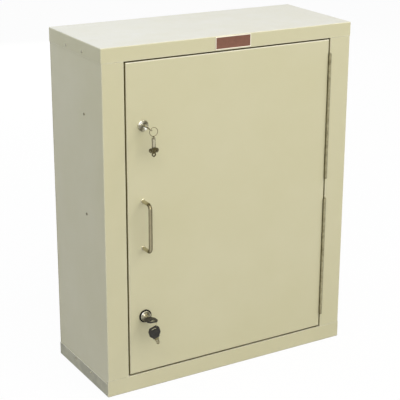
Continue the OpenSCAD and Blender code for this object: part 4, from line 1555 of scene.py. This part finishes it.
@dataclass
class CamLock:
    """One cam lock: threaded barrel, turned face, plug with keyway, hex nut and cam screw."""

    lock: Lock
    rack: FinishRack
    barrel: float = 9.5 * MM
    face: float = 11.9 * MM
    face_thick: float = 2.8 * MM
    bore: float = 6.66 * MM
    head_bore: float = 8.06 * MM
    recess: float = 0.4 * MM
    head_thick: float = 1.6 * MM
    play: float = 0.06 * MM
    thread_pitch: float = 1.25 * MM
    thread_depth: float = 0.45 * MM
    plug: float = 6.6 * MM
    tail: float = 3.5 * MM
    slot_depth: float = 10.5 * MM
    slot_across: float = 8.3 * MM
    slot_high: float = 2.3 * MM
    nut: float = 13.5 * MM
    screw: float = 1.6 * MM
    screw_head: float = 2.4 * MM
    screw_turn: float = math.radians(25.0)
    finish: bpy.types.Material = field(init=False)

    def __post_init__(self) -> None:
        """Mix this lock's turned finish about its own axis."""
        label = self.lock.label
        finish = TurnedFinish(f"{label}_lock_nickel", tuple(middle(f"{label}_lock_plug")), self.lock.highlight_edge)
        self.finish = finish.material()

    def build(self) -> None:
        """Build the lock's pieces from front to back."""
        self.build_barrel()
        self.build_plug()
        self.build_nut()
        self.build_cam_screw()

    def build_barrel(self) -> None:
        """Turn the barrel: dished face, clamping flange, thread crests and plain bore."""
        node = f"{self.lock.label}_lock_barrel"
        low, high = box_of(node)
        depth = high.y - low.y
        thick = self.face_thick
        root, crest = self.barrel - self.thread_depth, self.barrel - 0.02 * MM
        outer = [(self.head_bore, 0.35 * MM), (self.head_bore + 0.5 * MM, 0.1 * MM), (self.face - 1.6 * MM, 0.0),
                 (self.face - 0.9 * MM, 0.15 * MM), (self.face - 0.25 * MM, 0.7 * MM), (self.face, 1.3 * MM),
                 (self.face, thick), (self.barrel, thick), (self.barrel, thick + 1.4 * MM)]
        height = thick + 1.6 * MM
        while height + self.thread_pitch < depth - 0.8 * MM:
            outer += [(root, height), (crest, height + 0.4 * self.thread_pitch),
                      (crest, height + 0.6 * self.thread_pitch)]
            height += self.thread_pitch
        outer += [(root, height), (root, depth - 0.3 * MM), (self.barrel - 0.8 * MM, depth)]
        recess_end = self.recess + self.head_thick + self.play
        inner = [(self.bore, depth), (self.bore, recess_end), (self.head_bore, recess_end)]
        piece = Workpiece.turned(f"{self.lock.label}_threaded_barrel", face_centre(node), outer + inner, bored=True)
        piece.hand_over("door", self.finish, "lock_nickel", node)

    def build_plug(self) -> None:
        """Turn the plug with its rimmed face and square tail, and cut the keyway."""
        node = f"{self.lock.label}_lock_plug"
        front, back = face_centre(node), box_of(node)[1].y
        tail_start = box_of(f"{self.lock.label}_lock_cam")[0].y - front.y
        head = self.head_bore - self.play
        profile = [(self.plug - 0.5 * MM, 0.25 * MM), (self.plug, 0.05 * MM), (head - 0.5 * MM, 0.0),
                   (head, 0.35 * MM), (head, self.head_thick), (self.plug, self.head_thick),
                   (self.plug, tail_start - 0.4 * MM), (self.plug - 0.4 * MM, tail_start)]
        piece = Workpiece.turned(f"{self.lock.label}_turning_plug", front, profile)
        tail = Workpiece.block("tail", front + Vector((-self.tail, tail_start - OVERSHOOT, -self.tail)),
                               (front.x + self.tail, back, front.z + self.tail))
        piece.combine(tail, "UNION")
        keyway = Workpiece.strip("keyway", -self.slot_depth, OVERSHOOT, self.slot_across, self.slot_high)
        keyway.place(self.lock.key_frame)
        piece.combine(keyway, "DIFFERENCE")
        piece.hand_over(f"{self.lock.label}_lock_core", self.finish, "lock_nickel", node)

    def build_nut(self) -> None:
        """Shape the hex nut: six flats with both rims chamfered by a turned blank."""
        node = f"{self.lock.label}_lock_nut"
        front = face_centre(node)
        thick = box_of(node)[1].y - front.y
        rim, outside = self.nut - 1.2 * MM, self.nut + 0.4 * MM
        mouth, bore = self.barrel + 1.0 * MM, self.barrel + 0.05 * MM
        chamfered = [(rim, 0.0), (outside, 1.1 * MM), (outside, thick - 1.1 * MM), (rim, thick)]
        bored = [(mouth, -0.2 * MM), (bore, 0.8 * MM), (bore, thick - 0.8 * MM), (mouth, thick + 0.2 * MM)]
        piece = Workpiece.cylinder(f"{self.lock.label}_hex_nut", front, thick, self.nut, Axis.Y, sides=6)
        piece.combine(Workpiece.turned("blank", front, chamfered), "INTERSECT")
        piece.combine(Workpiece.turned("hole", front, bored), "DIFFERENCE")
        piece.hand_over("door", self.rack.zinc, "zinc_plate", node)

    def build_cam_screw(self) -> None:
        """Turn the cheese-head screw that holds the cam, and cut its slot."""
        node = f"{self.lock.label}_cam_screw"
        low, high = box_of(node)
        centre = face_centre(node, back=True)
        head = (high.x - low.x) / 2
        profile = [(self.screw, low.y - high.y), (self.screw, -self.screw_head), (head - 0.3 * MM, -self.screw_head),
                   (head, 0.3 * MM - self.screw_head), (head, -0.7 * MM), (0.9 * head, -0.25 * MM), (0.7 * head, 0.0)]
        piece = Workpiece.turned(f"{self.lock.label}_cheese_screw", centre, profile, sides=40)
        slot = Workpiece.block("slot", (-1.2 * head, -1.2 * MM, -0.5 * MM), (1.2 * head, 0.5 * MM, 0.5 * MM))
        slot.place(Matrix.Translation(centre) @ Matrix.Rotation(self.screw_turn, 4, "Y"))
        piece.combine(slot, "DIFFERENCE")
        piece.hand_over(f"{self.lock.label}_lock_core", self.rack.zinc, "zinc_plate", node)


@dataclass
class LockBezel:
    """The lower lock's black trim ring, with a rounded shoulder round the lock's face."""

    rack: FinishRack
    bore: float = 9.6 * MM
    face_bore: float = 12.0 * MM
    under: float = 1.6 * MM

    def build(self) -> None:
        """Turn the ring from its front edge back to the door."""
        low, high = box_of("lower_lock_bezel")
        radius, front = (high.x - low.x) / 2, low.y - high.y
        profile = [(self.face_bore, front + 0.25 * MM), (self.face_bore + 0.35 * MM, front), (radius - 1.1 * MM, front),
                   (radius - 0.5 * MM, front + 0.25 * MM), (radius - 0.12 * MM, front + 0.8 * MM),
                   (radius, front + 1.5 * MM), (radius, -0.2 * MM), (radius - 0.2 * MM, 0.0),
                   (self.bore, 0.0), (self.bore, -self.under), (self.face_bore, -self.under)]
        piece = Workpiece.turned("lower_trim_ring", face_centre("lower_lock_bezel", back=True), profile, bored=True)
        piece.hand_over("door", self.rack.bezel, "black_plastic", "lower_lock_bezel")


# --- Studio ---


@dataclass(frozen=True)
class Lamp:
    """A soft rectangular lamp, with its power in watts and its display colour."""

    name: str
    place: Triple
    aim: Triple
    size: tuple[float, float]
    power: float
    color: Color

    def hang(self) -> None:
        """Hang the lamp in its place and turn it to its aim."""
        data = bpy.data.lights.new(self.name, "AREA")
        data.shape = "RECTANGLE"
        data.size, data.size_y = self.size
        data.energy = self.power
        data.color = linear(self.color)[:3]
        lamp = bpy.data.objects.new(self.name, data)
        bpy.context.scene.collection.objects.link(lamp)
        direction = Vector(self.aim) - Vector(self.place)
        lamp.matrix_world = Matrix.Translation(self.place) @ direction.to_track_quat("-Z", "Y").to_matrix().to_4x4()


@dataclass
class Studio:
    """White floor, soft lamps and the camera at the view of the finished picture."""

    eye: Triple = (-1.3145, -2.2459, 1.2629)
    heading: float = 32.979
    dip: float = 18.623
    roll: float = 1.087
    lens: float = 109.36
    shift_x: float = -0.1392
    shift_y: float = -0.0253
    floor_size: float = 14.0
    floor_grey: float = 0.42
    floor_glow: float = 0.95
    sky: Color = (244, 247, 255)
    sky_strength: float = 0.395
    lamps: tuple[Lamp, ...] = (
        Lamp("front_key", (0.05, -3.5, 2.8), (0.0, -0.1, 0.35), (6.0, 4.4), 138.0, (255, 251, 236)),
        Lamp("top_fill", (-0.2, 0.2, 3.6), (0.0, 0.0, 0.5), (2.8, 2.8), 10.5, (222, 234, 255)),
        Lamp("edge_lamp", (2.0, -1.2, 3.4), (0.0, 0.0, 0.5), (0.5, 0.5), 20.0, (255, 252, 246)),
        Lamp("side_fill", (-1.1, 0.2, 1.9), (-0.3, 0.0, 0.6), (0.6, 0.6), 5.5, (210, 224, 255)),
        Lamp("back_fill", (0.5, 3.4, 0.9), (0.0, 0.1, 0.4), (3.0, 1.4), 34.0, (255, 252, 242)),
        Lamp("streak_lamp", (-2.0, -1.9, 2.9), (-0.2, -0.1, 0.4), (0.35, 0.35), 5.0, (255, 252, 244)))

    def build(self) -> None:
        """Set up the whole studio."""
        self.build_camera()
        self.build_floor()
        self.build_world()
        for lamp in self.lamps:
            lamp.hang()
        bpy.context.scene.view_settings.view_transform = "Standard"

    def build_camera(self) -> None:
        """Stand the camera at the eye point with its heading, dip and roll."""
        data = bpy.data.cameras.new("view_camera")
        data.lens, data.shift_x, data.shift_y = self.lens, self.shift_x, self.shift_y
        camera = bpy.data.objects.new("view_camera", data)
        bpy.context.scene.collection.objects.link(camera)
        turn = Matrix.Rotation(math.radians(-self.heading), 4, "Z")
        tilt = Matrix.Rotation(math.radians(90.0 - self.dip), 4, "X")
        bank = Matrix.Rotation(math.radians(self.roll), 4, "Z")
        camera.matrix_world = Matrix.Translation(self.eye) @ turn @ tilt @ bank
        bpy.context.scene.camera = camera

    def build_floor(self) -> None:
        """Lay a white floor that shows as the white ground and keeps a faint shadow."""
        bpy.ops.object.select_all(action="DESELECT")
        bpy.ops.mesh.primitive_plane_add(size=self.floor_size, location=(0.0, 0.0, 0.0))
        floor = bpy.context.active_object
        floor.name = "studio_floor"
        sheet = FinishSheet("studio_floor")
        ray = sheet.add("LightPath").outputs
        seen = sheet.math("MAXIMUM", ray["Is Camera Ray"], ray["Is Glossy Ray"])
        grey = (self.floor_grey, self.floor_grey, self.floor_grey, 1.0)
        sheet.paint(Base__Color=sheet.blend(seen, grey, WHITE), Roughness=0.9, Specular__IOR__Level=0.1)
        mix = sheet.add("MixShader")
        glow = sheet.add("Emission", None, Strength=1.0)
        for index, value in enumerate((sheet.math("MULTIPLY", seen, self.floor_glow), sheet.shader.outputs[0],
                                       glow.outputs[0])):
            sheet.feed(mix.inputs[index], value)
        sheet.feed(sheet.tree.nodes["Material Output"].inputs["Surface"], mix.outputs[0])
        floor.data.materials.append(sheet.material)

    def build_world(self) -> None:
        """Fill the sky with white that the lens and the gloss see, and a plain level of light."""
        world = bpy.data.worlds.new("studio_world")
        world.use_nodes = True
        bpy.context.scene.world = world
        sheet = NodeSheet(world.node_tree)
        ray = sheet.add("LightPath").outputs
        seen = sheet.math("MAXIMUM", ray["Is Camera Ray"],
                          sheet.math("MAXIMUM", ray["Is Glossy Ray"], ray["Is Transmission Ray"]))
        back = world.node_tree.nodes["Background"]
        sheet.feed(back.inputs["Color"], sheet.blend(seen, self.sky, WHITE))
        sheet.feed(back.inputs["Strength"], sheet.spread(seen, 0.0, 1.0, self.sky_strength, 1.0))


def main() -> None:
    """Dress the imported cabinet, build its hardware and set up the studio."""
    logging.basicConfig(level=logging.INFO, format="%(name)s: %(message)s")
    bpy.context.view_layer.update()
    Studio().build()
    rack = FinishRack()
    for nodes in NodeFinish:
        nodes.dress(rack)
    Nameplate().build()
    Bumpers(rack).build()
    for node, finish in (("cap_rivets", rack.rivet), ("base_rivets", rack.rivet), ("standard_rivets", rack.dull_rivet)):
        BlindRivets(node, finish).build()
    DoorPull(rack).build()
    for lock in Lock:
        CamLock(lock, rack).build()
    LockBezel(rack).build()
    TrefoilKeys(rack).build()
    WireLoop(rack).build()
    BlackHeadKeys(rack).build()
    SplitRing(rack).build()


if __name__ == "__main__":
    main()
